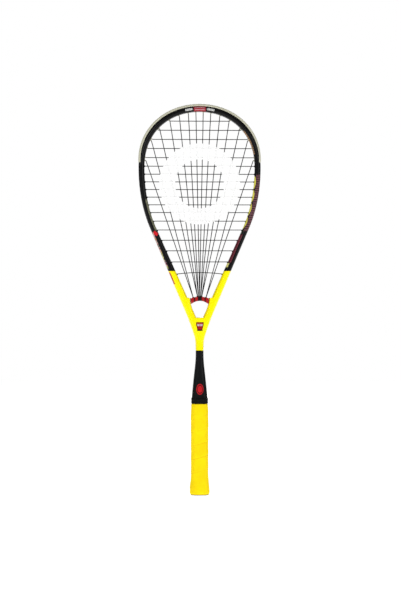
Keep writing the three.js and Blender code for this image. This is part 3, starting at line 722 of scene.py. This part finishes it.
def handle_ring(z, a, soft=0.0, b=None, extra=0.0):
    """A ring round the handle; soft turns its bevelled box into an oval."""
    b = a - PALLET_SLIM if b is None else b
    reach = (1 - soft) * octagon(a, b) + soft * oval(a, b) + extra
    return np.stack([reach * np.cos(TURN), reach * np.sin(TURN), np.full(len(TURN), z)], axis=1)


def sleeve(profile):
    """A closed sleeve: rings up its outside and down its inside."""
    return loft([handle_ring(*p) for p in profile], tube=True)


def build_cone():
    heights = [172.7, 180, 187, 194, 201, 208, 215, 222, 229, 241, 253.3]
    wide = [13.4, 12.75, 12.1, 11.5, 10.8, 10.1, 9.3, 8.5, 7.8, 6.95, 6.8]
    deep = [11.5, 11.3, 11.1, 10.8, 10.5, 10.2, 9.9, 9.65, 9.4, 9.2, 9.15]
    rings = [handle_ring(z, 12.6) for z in (4.4, 60, 120, 168.0)]
    rings += [handle_ring(168.7, 12.7), handle_ring(169.0, 13.2), handle_ring(169.6, 13.55)]
    rings += [handle_ring(171.2, 13.55)]
    for z in np.linspace(172.7, 253.3, 70):
        soft = float(smooth(176, 226, z))
        rings.append(handle_ring(z, ease(z, heights, wide), soft, ease(z, heights, deep)))
    rings.append(handle_ring(253.5, 6.55, 1, 8.9))
    return new_object("handle_core", *loft(rings), slot="handle_foam", replaces=["handle_pallet"])


GRIP_PITCH, GRIP_STEP = 24.0, 0.4


def grip_ridge(z):
    """How far the wrapped band lies under its overlap at each direction, in mm."""
    phase = (z / GRIP_PITCH - TURN / (2 * math.pi)) % 1
    rise = smooth(0, 0.07, phase) * (1 - smooth(0.1, 0.62, phase) * 0.75)
    fade = float(smooth(3, 8, z) * (1 - smooth(158, 160, z)))
    return -GRIP_STEP * fade * (1 - rise)


def build_grip():
    heights = [1.3, 8, 14, 20, 28, 36, 60, 100, 145, 155, 160.2]
    wide = [17.2, 17.55, 17.35, 16.7, 15.8, 15.5, 15.45, 15.5, 15.5, 15.1, 14.7]
    rings = [handle_ring(1.3, 15.4), handle_ring(1.25, 15.7, 0.2)]
    for z in np.arange(1.3, 160.0, 0.6):
        edge = -1.2 * float(1 - smooth(0.6, 4.2, z)) - 0.6 * float(smooth(158.4, 160.2, z))
        rings.append(handle_ring(z, ease(z, heights, wide), 0.3, None, grip_ridge(z) + edge))
    rings += [handle_ring(160.2, 13.6, 0.2), handle_ring(160.25, 13.15), handle_ring(163.5, 13.15)]
    inside = (163.5, 12.9), (28.4, 12.9), (27.4, 13.7), (18, 14.7), (9.2, 15.4)
    rings += [handle_ring(z, a) for z, a in inside]
    return new_object("grip_wrap", *loft(rings, tube=True), slot="grip", replaces=["grip"])


def build_tape():
    profile = [(160.6, 13.35), (160.6, 13.55), (160.9, 13.6), (164.2, 13.6), (168.1, 13.2), (168.3, 13.1)]
    profile += [(168.3, 12.9), (164.2, 13.35)]
    return new_object("end_tape", *sleeve(profile), slot="tape", replaces=["finishing_tape"])


def build_collar():
    outside = []
    for z in np.linspace(160.9, 170.4, 40):
        rib = 0.28 * math.exp(-(((z - 162.5) / 0.8) ** 2)) + 0.28 * math.exp(-(((z - 167.6) / 0.8) ** 2))
        end = 0.5 * float(1 - smooth(160.4, 161.4, z)) + 0.55 * float(smooth(169.6, 170.9, z))
        outside.append((z, 14.62 + rib - end, 0.2))
    profile = [(160.5, 13.9), (160.5, 14.1, 0.1)] + outside + [(170.8, 14.05, 0.1), (170.8, 13.9)]
    return new_object("collar", *sleeve(profile), body="grip_collar", slot="collar", replaces=["grip_collar"])


def build_cap():
    """The butt cap, with a moulded rim round a shallow panel on its end."""
    end = [(0.5, 0.5), (0.5, 8.0), (0.5, 12.2), (0.35, 12.6), (0.05, 12.9), (0.0, 13.2), (0.0, 14.6)]
    side = [(0.2, 15.4), (0.6, 15.9), (1.0, 16.1), (1.15, 16.0), (1.2, 15.2)]
    side += [(9, 15.2), (18, 14.4), (27, 13.4)]
    inside = [(27, 12.9), (4.0, 12.9), (4.0, 8.0), (4.0, 2.5)]
    rings = []
    for z, a in end + side + inside:
        soft = 0.15 if a > 14 else 0.0
        rings.append(handle_ring(z, a, soft, max(a - PALLET_SLIM, 0.3)))
    return new_object("end_cap", *loft(rings), slot="cap", replaces=["butt_cap"])


# ---- materials
def rgb(*srgb):
    """An sRGB colour, 0 to 255, as linear."""
    linear = [v / 255 / 12.92 if v <= 10 else ((v / 255 + 0.055) / 1.055) ** 2.4 for v in srgb]
    return (*linear, 1.0)


YELLOW, YELLOW_SHADE, ARCH_YELLOW = rgb(255, 240, 0), rgb(253, 234, 0), rgb(226, 218, 88)
PALE_YELLOW, ORANGE = rgb(226, 220, 130), rgb(180, 72, 16)
TAN, FLECK_TAN = rgb(172, 132, 92), rgb(178, 138, 100)
BLACK, BLACK_SHADE, PALE_GREY = rgb(8, 8, 9), rgb(14, 14, 16), rgb(208, 208, 206)
RED, CRIMSON, PALE_PINK, MAROON = rgb(200, 22, 34), rgb(150, 28, 44), rgb(190, 150, 156), rgb(94, 34, 44)
HATCH_DARK, HATCH_PALE = rgb(30, 9, 11), rgb(124, 80, 88)
GREEN, OLIVE, OLIVE_PALE = rgb(40, 52, 30), rgb(70, 72, 58), rgb(140, 140, 112)
BADGE_BORDER, BADGE_FIELD, BADGE_BAND = rgb(44, 14, 16), rgb(158, 30, 38), rgb(188, 172, 174)
NOISE_LOW, NOISE_HIGH = 0.3, 0.7  # nearly all of a noise texture's values lie between these


class Paint:
    """A small wrapper that builds one procedural material."""

    def __init__(self, name, **values):
        self.material = bpy.data.materials.new(name)
        self.material.use_nodes = True
        self.tree = self.material.node_tree
        self.bsdf = next(n for n in self.tree.nodes if n.type == "BSDF_PRINCIPLED")
        self.coat = BLACK
        for key, value in values.items():
            self.bsdf.inputs[key.replace("_", " ")].default_value = value

    def node(self, kind, **inputs):
        made = self.tree.nodes.new(kind)
        for key, value in inputs.items():
            self.feed(made.inputs[key.replace("_", " ")], value)
        return made

    def feed(self, socket, value):
        if isinstance(value, bpy.types.NodeSocket):
            self.tree.links.new(value, socket)
        else:
            socket.default_value = value

    def math(self, operation, a, b=0.0, clamp=False):
        made = self.tree.nodes.new("ShaderNodeMath")
        made.operation = operation
        made.use_clamp = clamp
        self.feed(made.inputs[0], a)
        self.feed(made.inputs[1], b)
        return made.outputs[0]

    def place_in_object(self):
        return self.node("ShaderNodeTexCoord").outputs["Object"]

    def coordinates(self):
        """Object coordinates in mm, as x, y and height above the butt end."""
        split = self.node("ShaderNodeSeparateXYZ", Vector=self.place_in_object())
        x, y, z = (self.math("MULTIPLY", split.outputs[i], 1 / MM) for i in range(3))
        return x, y, self.math("ADD", z, HAND)

    def attribute(self, name):
        made = self.tree.nodes.new("ShaderNodeAttribute")
        made.attribute_name = name
        return made.outputs["Fac"]

    def above(self, value, edge, blur=0.3):
        """1 where value is over edge, with an edge blur wide."""
        return self.math("MULTIPLY", self.math("SUBTRACT", value, edge - blur / 2), 1 / blur, clamp=True)

    def below(self, value, edge, blur=0.3):
        return self.above(self.math("MULTIPLY", value, -1.0), -edge, blur)

    def between(self, value, low, high, blur=0.3):
        return self.all(self.above(value, low, blur), self.inverse(self.above(value, high, blur)))

    def inverse(self, mask):
        return self.math("SUBTRACT", 1.0, mask)

    def all(self, *masks):
        total = masks[0]
        for mask in masks[1:]:
            total = self.math("MULTIPLY", total, mask)
        return total

    def either(self, *masks):
        total = masks[0]
        for mask in masks[1:]:
            total = self.math("MAXIMUM", total, mask)
        return total

    def lean(self, value, other, slope):
        """value plus slope times other."""
        return self.math("ADD", value, self.math("MULTIPLY", other, slope))

    def distance(self, a, b):
        """The length of the vector (a, b)."""
        squares = [self.math("MULTIPLY", v, v) for v in (a, b)]
        return self.math("SQRT", self.math("ADD", *squares))

    def wave(self, value, rate):
        return self.math("SINE", self.math("MULTIPLY", value, rate))

    def phase(self, value, pitch):
        """How much of its present pitch value has covered, from 0 to 1."""
        return self.math("FRACT", self.math("DIVIDE", value, pitch))

    def blend(self, mask, under, over):
        made = self.tree.nodes.new("ShaderNodeMix")
        made.data_type = "RGBA"
        self.feed(made.inputs["Factor"], mask)
        self.feed(made.inputs["A"], under)
        self.feed(made.inputs["B"], over)
        return made.outputs["Result"]

    def noise(self, scale, detail, stretch=None):
        where = self.place_in_object()
        if stretch:
            where = self.node("ShaderNodeMapping", Vector=where, Scale=stretch).outputs["Vector"]
        made = self.node("ShaderNodeTexNoise", Vector=where, Scale=scale, Detail=detail, Roughness=0.55)
        return made.outputs["Fac"]

    def patches(self, scale, detail, edge, blur):
        """1 inside the patches of a noise texture."""
        return self.above(self.noise(scale, detail), edge, blur)

    def range(self, value, low, high, new_low, new_high):
        made = self.node("ShaderNodeMapRange", Value=value)
        for key, v in (("From Min", low), ("From Max", high), ("To Min", new_low), ("To Max", new_high)):
            made.inputs[key].default_value = v
        return made.outputs["Result"]

    def wander(self, noise, low, high):
        """A value that wanders from low to high with a noise texture."""
        return self.range(noise, NOISE_LOW, NOISE_HIGH, low, high)

    def layer(self, tint, *masks):
        """Lays a tint over the coat where all the masks are 1."""
        self.coat = self.blend(self.all(*masks), self.coat, tint)

    def finished(self, roughness=None, height=None, strength=0.0, distance=0.0):
        """The material with its coat, roughness and bump."""
        self.feed(self.bsdf.inputs["Base Color"], self.coat)
        if roughness:
            self.feed(self.bsdf.inputs["Roughness"], roughness)
        if height:
            bump = self.node("ShaderNodeBump", Height=height, Strength=strength, Distance=distance)
            self.feed(self.bsdf.inputs["Normal"], bump.outputs["Normal"])
        return self.material


INNER_EDGE = (-6.5, -3.4)  # the strip of the face beside the strings, outwards from the hole line


def frame_paint():
    p = Paint("frame_paint", Coat_Weight=0.1, Coat_Roughness=0.08, Specular_IOR_Level=0.08)
    x, y, z = p.coordinates()
    reach, across = p.attribute("along"), p.attribute("across")
    front = p.math("LESS_THAN", y, 0.0)
    right = p.above(x, 0.0, 1.0)
    left = p.inverse(right)
    p.coat = p.blend(p.patches(60, 6, 0.55, 0.3), BLACK, BLACK_SHADE)
    paint_crown(p, reach, across)
    paint_right_side(p, z, across, right)
    paint_left_side(p, z, across, left)
    paint_arms(p, z, across, left, right)
    paint_badge(p, x, z, front)
    return p.finished(p.wander(p.noise(240, 5), 0.26, 0.36), p.noise(900, 3), 0.05, 0.00008)


def paint_crown(p, reach, across):
    """A crimson block with two pale lines along it, between rows of short pale bars."""
    block_end, lines_end, bars_from, bars_to = 10.6, 9.0, 12.6, 25.5
    half_block, half_bar, line_inside, line_outside = 4.6, 1.9, 1.1, 2.2
    bar_pitch, gap_share = 2.6, 0.25
    p.layer(CRIMSON, p.below(reach, block_end), p.between(across, -half_block, half_block))
    under, over = p.between(across, -line_outside, -line_inside), p.between(across, line_inside, line_outside)
    p.layer(PALE_PINK, p.either(under, over), p.below(reach, lines_end))
    bars = p.above(p.phase(reach, bar_pitch), gap_share, 0.1)
    p.layer(PALE_GREY, p.between(reach, bars_from, bars_to), p.between(across, -half_bar, half_bar), bars)


def paint_right_side(p, z, across, right):
    """Fine tan dashes, a maroon hatch with yellow arches beside it, a green patch and a maroon stripe."""
    dash_lean, dash_pitch, gap_share = 1.2, 3.4, 0.45
    dashes = p.above(p.phase(p.lean(z, across, dash_lean), dash_pitch), gap_share, 0.1)
    inner_edge = p.between(across, *INNER_EDGE)
    p.layer(TAN, right, inner_edge, p.between(z, 597, 639), dashes)

    hatch_lean, hatch_rate = 1.7, 0.8
    slants = [p.wave(p.lean(z, across, lean), hatch_rate) for lean in (hatch_lean, -hatch_lean)]
    hatch = p.blend(p.above(p.math("MULTIPLY", *slants), 0.1, 0.2), HATCH_DARK, HATCH_PALE)
    p.layer(hatch, right, p.between(z, 463, 562, 3.0), p.between(across, -2.6, 4.8))

    arch_foot_z, arch_top_z, arch_pitch, arch_foot, arch_rise = 466.0, 560.0, 23.5, -4.7, 2.1
    arch = p.math("ABSOLUTE", p.wave(p.math("SUBTRACT", z, arch_foot_z), math.pi / arch_pitch))
    inside = p.math("SUBTRACT", p.lean(arch_foot, arch, arch_rise), across)
    arches = p.all(p.above(inside, 0.0, 0.25), p.above(arch, 0.12, 0.05))
    p.layer(ARCH_YELLOW, right, p.between(z, arch_foot_z, arch_top_z), arches)

    p.layer(GREEN, right, p.between(z, 458, 465, 2.0), inner_edge)
    p.layer(MAROON, right, p.between(z, 408, 457, 2.0), p.between(across, -6.5, -1.2))


def paint_left_side(p, z, across, left):
    """An olive speckle, a red lozenge and a fringe of thin coloured flecks on the outer face."""
    olive = p.blend(p.patches(900, 2, 0.5, 0.1), OLIVE, OLIVE_PALE)
    p.layer(olive, left, p.between(z, 464, 518, 4.0), p.between(across, -6.5, -1.4, 1.0))

    lozenge_z, lozenge_half = 459.0, 4.8
    reach_z, reach_across = (p.math("ABSOLUTE", v) for v in (p.math("SUBTRACT", z, lozenge_z), across))
    p.layer(RED, left, p.inverse(p.above(p.math("ADD", reach_z, reach_across), lozenge_half)))

    outer_edge, fleck_scale, fleck_size, tan_share = 3.2, 260.0, 0.35, 0.72
    flecks = p.node("ShaderNodeTexVoronoi", Scale=fleck_scale, Vector=p.place_in_object())
    shapes = p.above(flecks.outputs["Distance"], fleck_size, 0.1)
    tint = p.blend(tan_share, flecks.outputs["Color"], FLECK_TAN)
    p.layer(tint, left, p.between(z, 398, 460, 4.0), p.above(across, outer_edge, 0.4), shapes)


def paint_arms(p, z, across, left, right):
    """Everything below the painted step on the arms is yellow, with an orange edge and a pale spot."""
    yellow_top_z, outer_edge = 393.0, 3.1
    yellow = p.blend(p.patches(35, 5, 0.5, 0.4), YELLOW, YELLOW_SHADE)
    p.coat = p.blend(p.above(z, yellow_top_z), yellow, p.coat)
    p.layer(ORANGE, left, p.between(z, 370, 391, 1.5), p.above(across, outer_edge, 0.4))
    p.layer(PALE_YELLOW, right, p.between(z, 400, 407, 1.0), p.between(across, *INNER_EDGE))


def paint_badge(p, x, z, front):
    """A plain shield on the throat: a dark border, a red field and a pale band in two halves."""
    middle_z, top_half, foot_narrower, border, band_margin, split = 296.2, 6.6, 1.9, 1.2, 1.7, 0.5
    from_middle, height = p.math("ABSOLUTE", x), p.math("SUBTRACT", z, middle_z)
    half_width = p.lean(top_half, p.below(height, -1.0, 7.0), -foot_narrower)
    inside = p.math("SUBTRACT", half_width, from_middle)
    p.layer(BADGE_BORDER, front, p.between(height, -8.0, 7.4), p.above(inside, 0.0))
    p.layer(BADGE_FIELD, front, p.between(height, -5.6, 6.6), p.above(inside, border))
    band = p.between(height, 0.4, 4.2), p.above(inside, band_margin), p.above(from_middle, split)
    p.layer(BADGE_BAND, front, *band)


def bridge_paint():
    """Red, with a dark middle, and a dark patch round each side hole that is painted shade of the hole."""
    p = Paint("bridge_paint", Coat_Weight=0.1, Coat_Roughness=0.15, Specular_IOR_Level=0.15)
    x, _, _ = p.coordinates()
    reach = p.math("ABSOLUTE", x)
    # patch: from the middle outwards, in mm, where the painted shade round each side hole lies
    middle_half, patch = 3.6, (8.3, 10.3)
    p.coat = p.blend(p.patches(150, 4, 0.5, 0.4), rgb(150, 16, 18), rgb(168, 22, 24))
    # the dark middle, and painted shade round each side hole
    p.layer(rgb(26, 8, 10), p.either(p.below(reach, middle_half, 0.6), p.between(reach, *patch, 1.4)))
    return p.finished(p.wander(p.noise(500, 4), 0.32, 0.46), p.noise(1400, 3), 0.08, 0.0001)


def moulded(name, dark, light, rough=(0.42, 0.58), **values):
    """Fine-grained moulded plastic."""
    grain = 1800
    p = Paint(name, **values)
    p.coat = p.blend(p.patches(110, 5, 0.5, 0.5), dark, light)
    return p.finished(p.wander(p.noise(grain / 3, 4), *rough), p.noise(grain, 3), 0.12, 0.0001)


def bumper_plastic():
    p = Paint("bumper_plastic", Specular_IOR_Level=0.3)
    scuffs = p.above(p.noise(420, 6, stretch=(1, 1, 4)), 0.62, 0.12)
    p.coat = p.blend(p.noise(70, 4), rgb(190, 188, 166), rgb(204, 202, 182))
    p.layer(rgb(150, 150, 140), p.math("MULTIPLY", scuffs, 0.35))
    return p.finished(p.wander(p.noise(600, 4), 0.38, 0.6), p.noise(1500, 4), 0.15, 0.0001)


def string_gut():
    """Dark nylon with a plain white ring stencilled on the face."""
    ring_z, ring_inside, ring_outside, raggedness = 546.0, 43.0, 71.0, 1.0
    p = Paint("string_gut", Specular_IOR_Level=0.08)
    x, _, z = p.coordinates()
    radius = p.distance(x, p.math("SUBTRACT", z, ring_z))
    ragged = p.math("ADD", radius, p.range(p.noise(500, 3), 0.2, 0.8, -raggedness, raggedness))
    ink = p.between(ragged, ring_inside, ring_outside, 0.5)
    worn = p.math("MULTIPLY", ink, p.range(p.noise(1500, 3), 0.25, 0.45, 0.8, 1.0))
    nylon = p.blend(p.noise(2500, 2), rgb(4, 4, 5), rgb(12, 12, 13))
    p.coat = p.blend(worn, nylon, rgb(250, 250, 250))
    return p.finished(p.range(ink, 0.0, 1.0, 0.33, 0.6), p.noise(4000, 2), 0.1, 0.00005)


def core_foam():
    """The handle's moulded black skin, with a plain red oval in a thin ring on its front."""
    oval_z, oval_half_width, oval_half_height, oval_share, ring = 186.0, 6.2, 9.4, 0.66, (0.82, 1.0)
    p = Paint("core_foam", Specular_IOR_Level=0.08, Coat_Weight=0.05, Coat_Roughness=0.2)
    x, y, z = p.coordinates()
    front = p.math("LESS_THAN", y, 0.0)
    u = p.math("DIVIDE", x, oval_half_width)
    v = p.math("DIVIDE", p.math("SUBTRACT", z, oval_z), oval_half_height)
    reach = p.distance(u, v)
    mark = p.either(p.inverse(p.above(reach, oval_share, 0.05)), p.between(reach, *ring, 0.05))
    p.coat = p.blend(p.noise(90, 5), rgb(8, 8, 10), rgb(15, 15, 17))
    p.layer(rgb(186, 24, 34), front, mark)
    return p.finished(p.wander(p.noise(500, 5), 0.36, 0.5), p.noise(2200, 4), 0.12, 0.0001)


def grip_band():
    """Tacky yellow polyurethane: fine grain, rows of tiny holes darkened with painted shade inside them, and
    a patchy darker line along each overlap, which is painted shade in the overlap's step.
    """
    hole_rows, holes_round, hole_stagger, overlap_shade_from, overlap_shade_to = 9, 42, 0.037, 0.975, 0.035
    p = Paint("grip_band", Specular_IOR_Level=0.1, Sheen_Weight=0.04, Sheen_Roughness=0.5)
    x, y, z = p.coordinates()
    turn = p.math("DIVIDE", p.math("ARCTAN2", y, x), 2 * math.pi)
    wraps = p.math("SUBTRACT", p.math("DIVIDE", z, GRIP_PITCH), turn)
    phase = p.math("FRACT", p.math("ADD", 4.0, wraps))
    painted_overlap_shade = p.either(p.inverse(p.above(phase, overlap_shade_to, 0.05)), p.above(phase, overlap_shade_from, 0.04))
    rows = p.wave(phase, 2 * math.pi * hole_rows)
    marks = p.wave(p.lean(turn, phase, hole_stagger), 2 * math.pi * holes_round)
    holes = p.above(p.math("MULTIPLY", rows, marks), 0.8, 0.15)
    p.coat = p.blend(p.range(p.noise(45, 5), 0.35, 0.65, 0.0, 1.0), rgb(252, 226, 0), rgb(246, 214, 0))
    # painted shade: the tiny holes are darkened to stand for the shade inside them
    p.layer(rgb(170, 128, 0), p.math("MULTIPLY", holes, 0.4))
    # painted shade: a darker line along each overlap's step, stronger in some places than in others
    p.layer(rgb(206, 160, 0), painted_overlap_shade, p.range(p.noise(14, 3), 0.42, 0.6, 0.05, 0.4))
    grain = p.lean(p.noise(2600, 5), holes, -1.2)
    return p.finished(p.wander(p.noise(700, 5), 0.55, 0.75), grain, 0.35, 0.00025)


def woven_tape():
    warp_rate, weft_rate = 11.0, 140.0
    p = Paint("woven_tape", Specular_IOR_Level=0.25, Sheen_Weight=0.2)
    x, y, z = p.coordinates()
    weave = p.math("MULTIPLY", p.wave(z, warp_rate), p.wave(p.math("ARCTAN2", y, x), weft_rate))
    p.coat = p.blend(p.range(weave, -1, 1, 0, 1), rgb(20, 20, 21), rgb(44, 44, 46))
    return p.finished(p.range(weave, -1, 1, 0.6, 0.85), weave, 0.4, 0.0001)


def steel():
    p = Paint("staple_steel", Metallic=1.0)
    drawn = p.noise(900, 3, stretch=(1, 12, 12))
    p.coat = p.blend(drawn, rgb(150, 152, 156), rgb(196, 198, 202))
    return p.finished(p.wander(drawn, 0.25, 0.4))


def rubber():
    p = Paint("collar_rubber", Specular_IOR_Level=0.1)
    dust = p.math("MULTIPLY", p.patches(240, 6, 0.6, 0.2), 0.3)
    p.coat = p.blend(dust, rgb(7, 7, 8), rgb(30, 30, 30))
    return p.finished(p.wander(p.noise(900, 5), 0.5, 0.72), p.noise(3000, 4), 0.25, 0.00012)


def paint(obj, material):
    obj.data.materials.clear()
    obj.data.materials.append(material)


# ---- studio
WHITE = (1, 1, 1, 1)
WORLD_STRENGTH, FLOOR_GLOW, FLOOR_HALF, FLOOR_DROP = 0.2, 0.8, 4.0, 0.0005
LIGHT_SIZE, LIGHT_AIM = 1.6, (0, 0, 0.26)
LIGHTS = (("key", (-1.8, -2.4, 1.5), 35), ("fill", (2.0, -2.3, 0.9), 28), ("back", (0.3, 2.8, 1.6), 40))
LENS, SENSOR = 100.0, 24.0
PICTURE_ROWS, MM_PER_ROW = 601, 1.755
CAMERA_TURN, CAMERA_RISE = math.radians(-3.0), 0.017
AIM_X, MIDDLE_Z, AIM_DROP = 0.0016, 343.0, 1.6


def build_world():
    """Soft white light all round, and a plain white backdrop for the camera."""
    world = bpy.data.worlds.new("studio")
    bpy.context.scene.world = world
    world.use_nodes = True
    tree = world.node_tree
    background = next(n for n in tree.nodes if n.type == "BACKGROUND")
    background.inputs["Color"].default_value = WHITE
    background.inputs["Strength"].default_value = WORLD_STRENGTH
    backdrop = tree.nodes.new("ShaderNodeBackground")
    backdrop.inputs["Color"].default_value = WHITE
    choice, ray = tree.nodes.new("ShaderNodeMixShader"), tree.nodes.new("ShaderNodeLightPath")
    tree.links.new(ray.outputs["Is Camera Ray"], choice.inputs["Fac"])
    tree.links.new(background.outputs["Background"], choice.inputs[1])
    tree.links.new(backdrop.outputs["Background"], choice.inputs[2])
    output = next(n for n in tree.nodes if n.type == "OUTPUT_WORLD")
    tree.links.new(choice.outputs["Shader"], output.inputs["Surface"])


def build_floor():
    size, level = FLOOR_HALF, CAD_BOX[0][2] - FLOOR_DROP
    mesh = bpy.data.meshes.new("floor")
    corners = [(-size, -size, level), (size, -size, level), (size, size, level), (-size, size, level)]
    mesh.from_pydata(corners, [], [(0, 1, 2, 3)])
    floor = bpy.data.objects.new("floor", mesh)
    bpy.context.scene.collection.objects.link(floor)
    p = Paint("floor_paper", Roughness=0.9, Specular_IOR_Level=0.0)
    p.coat = p.blend(p.noise(30, 4), (0.93, 0.93, 0.93, 1), (0.95, 0.95, 0.95, 1))
    p.bsdf.inputs["Emission Color"].default_value = WHITE
    p.bsdf.inputs["Emission Strength"].default_value = FLOOR_GLOW
    paint(floor, p.finished())


def build_studio():
    bpy.context.scene.view_settings.view_transform = "Standard"
    build_world()
    build_floor()
    for name, where, watts in LIGHTS:
        add_area(name, where, watts)


def add_area(name, where, watts):
    light = bpy.data.lights.new(name, "AREA")
    light.size, light.energy = LIGHT_SIZE, watts
    obj = bpy.data.objects.new(name, light)
    obj.location = where
    aim = Vector(LIGHT_AIM) - Vector(where)
    obj.rotation_euler = aim.to_track_quat("-Z", "Y").to_euler()
    bpy.context.scene.collection.objects.link(obj)


def build_camera():
    """A little above the racket's middle and to its left, and far enough to be nearly flat."""
    data = bpy.data.cameras.new("camera")
    data.lens, data.sensor_fit, data.sensor_height = LENS, "VERTICAL", SENSOR
    camera = bpy.data.objects.new("camera", data)
    bpy.context.scene.collection.objects.link(camera)
    distance = data.lens / data.sensor_height * (PICTURE_ROWS * MM_PER_ROW * MM)
    aim = Vector((AIM_X, 0, (MIDDLE_Z - HAND - AIM_DROP) * MM))
    camera.location = aim + distance * Vector((math.sin(CAMERA_TURN), -math.cos(CAMERA_TURN), CAMERA_RISE))
    camera.rotation_euler = (aim - camera.location).to_track_quat("-Z", "Y").to_euler()
    bpy.context.scene.camera = camera


# ---- the racket
build_camera()
paint(build_frame(), frame_paint())
grommet_plastic = moulded("grommet_plastic", rgb(13, 13, 14), rgb(22, 22, 24), Specular_IOR_Level=0.15)
guard, *strips = build_grommets()
paint(guard, bumper_plastic())
for piece in strips + build_bridge_grommets():
    paint(piece, grommet_plastic)
paint(build_bridge(), bridge_paint())
gut = string_gut()
for piece in build_strings():
    paint(piece, gut)
paint(build_cone(), core_foam())
paint(build_grip(), grip_band())
paint(build_tape(), woven_tape())
paint(build_collar(), rubber())
cap_plastic = moulded("cap_plastic", rgb(12, 12, 13), rgb(20, 20, 22), (0.5, 0.68), Specular_IOR_Level=0.15)
paint(build_cap(), cap_plastic)
staple = steel()
for word in ("front", "back", "side"):
    paint(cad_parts[f"butt_cap_staple_{word}"], staple)
build_studio()
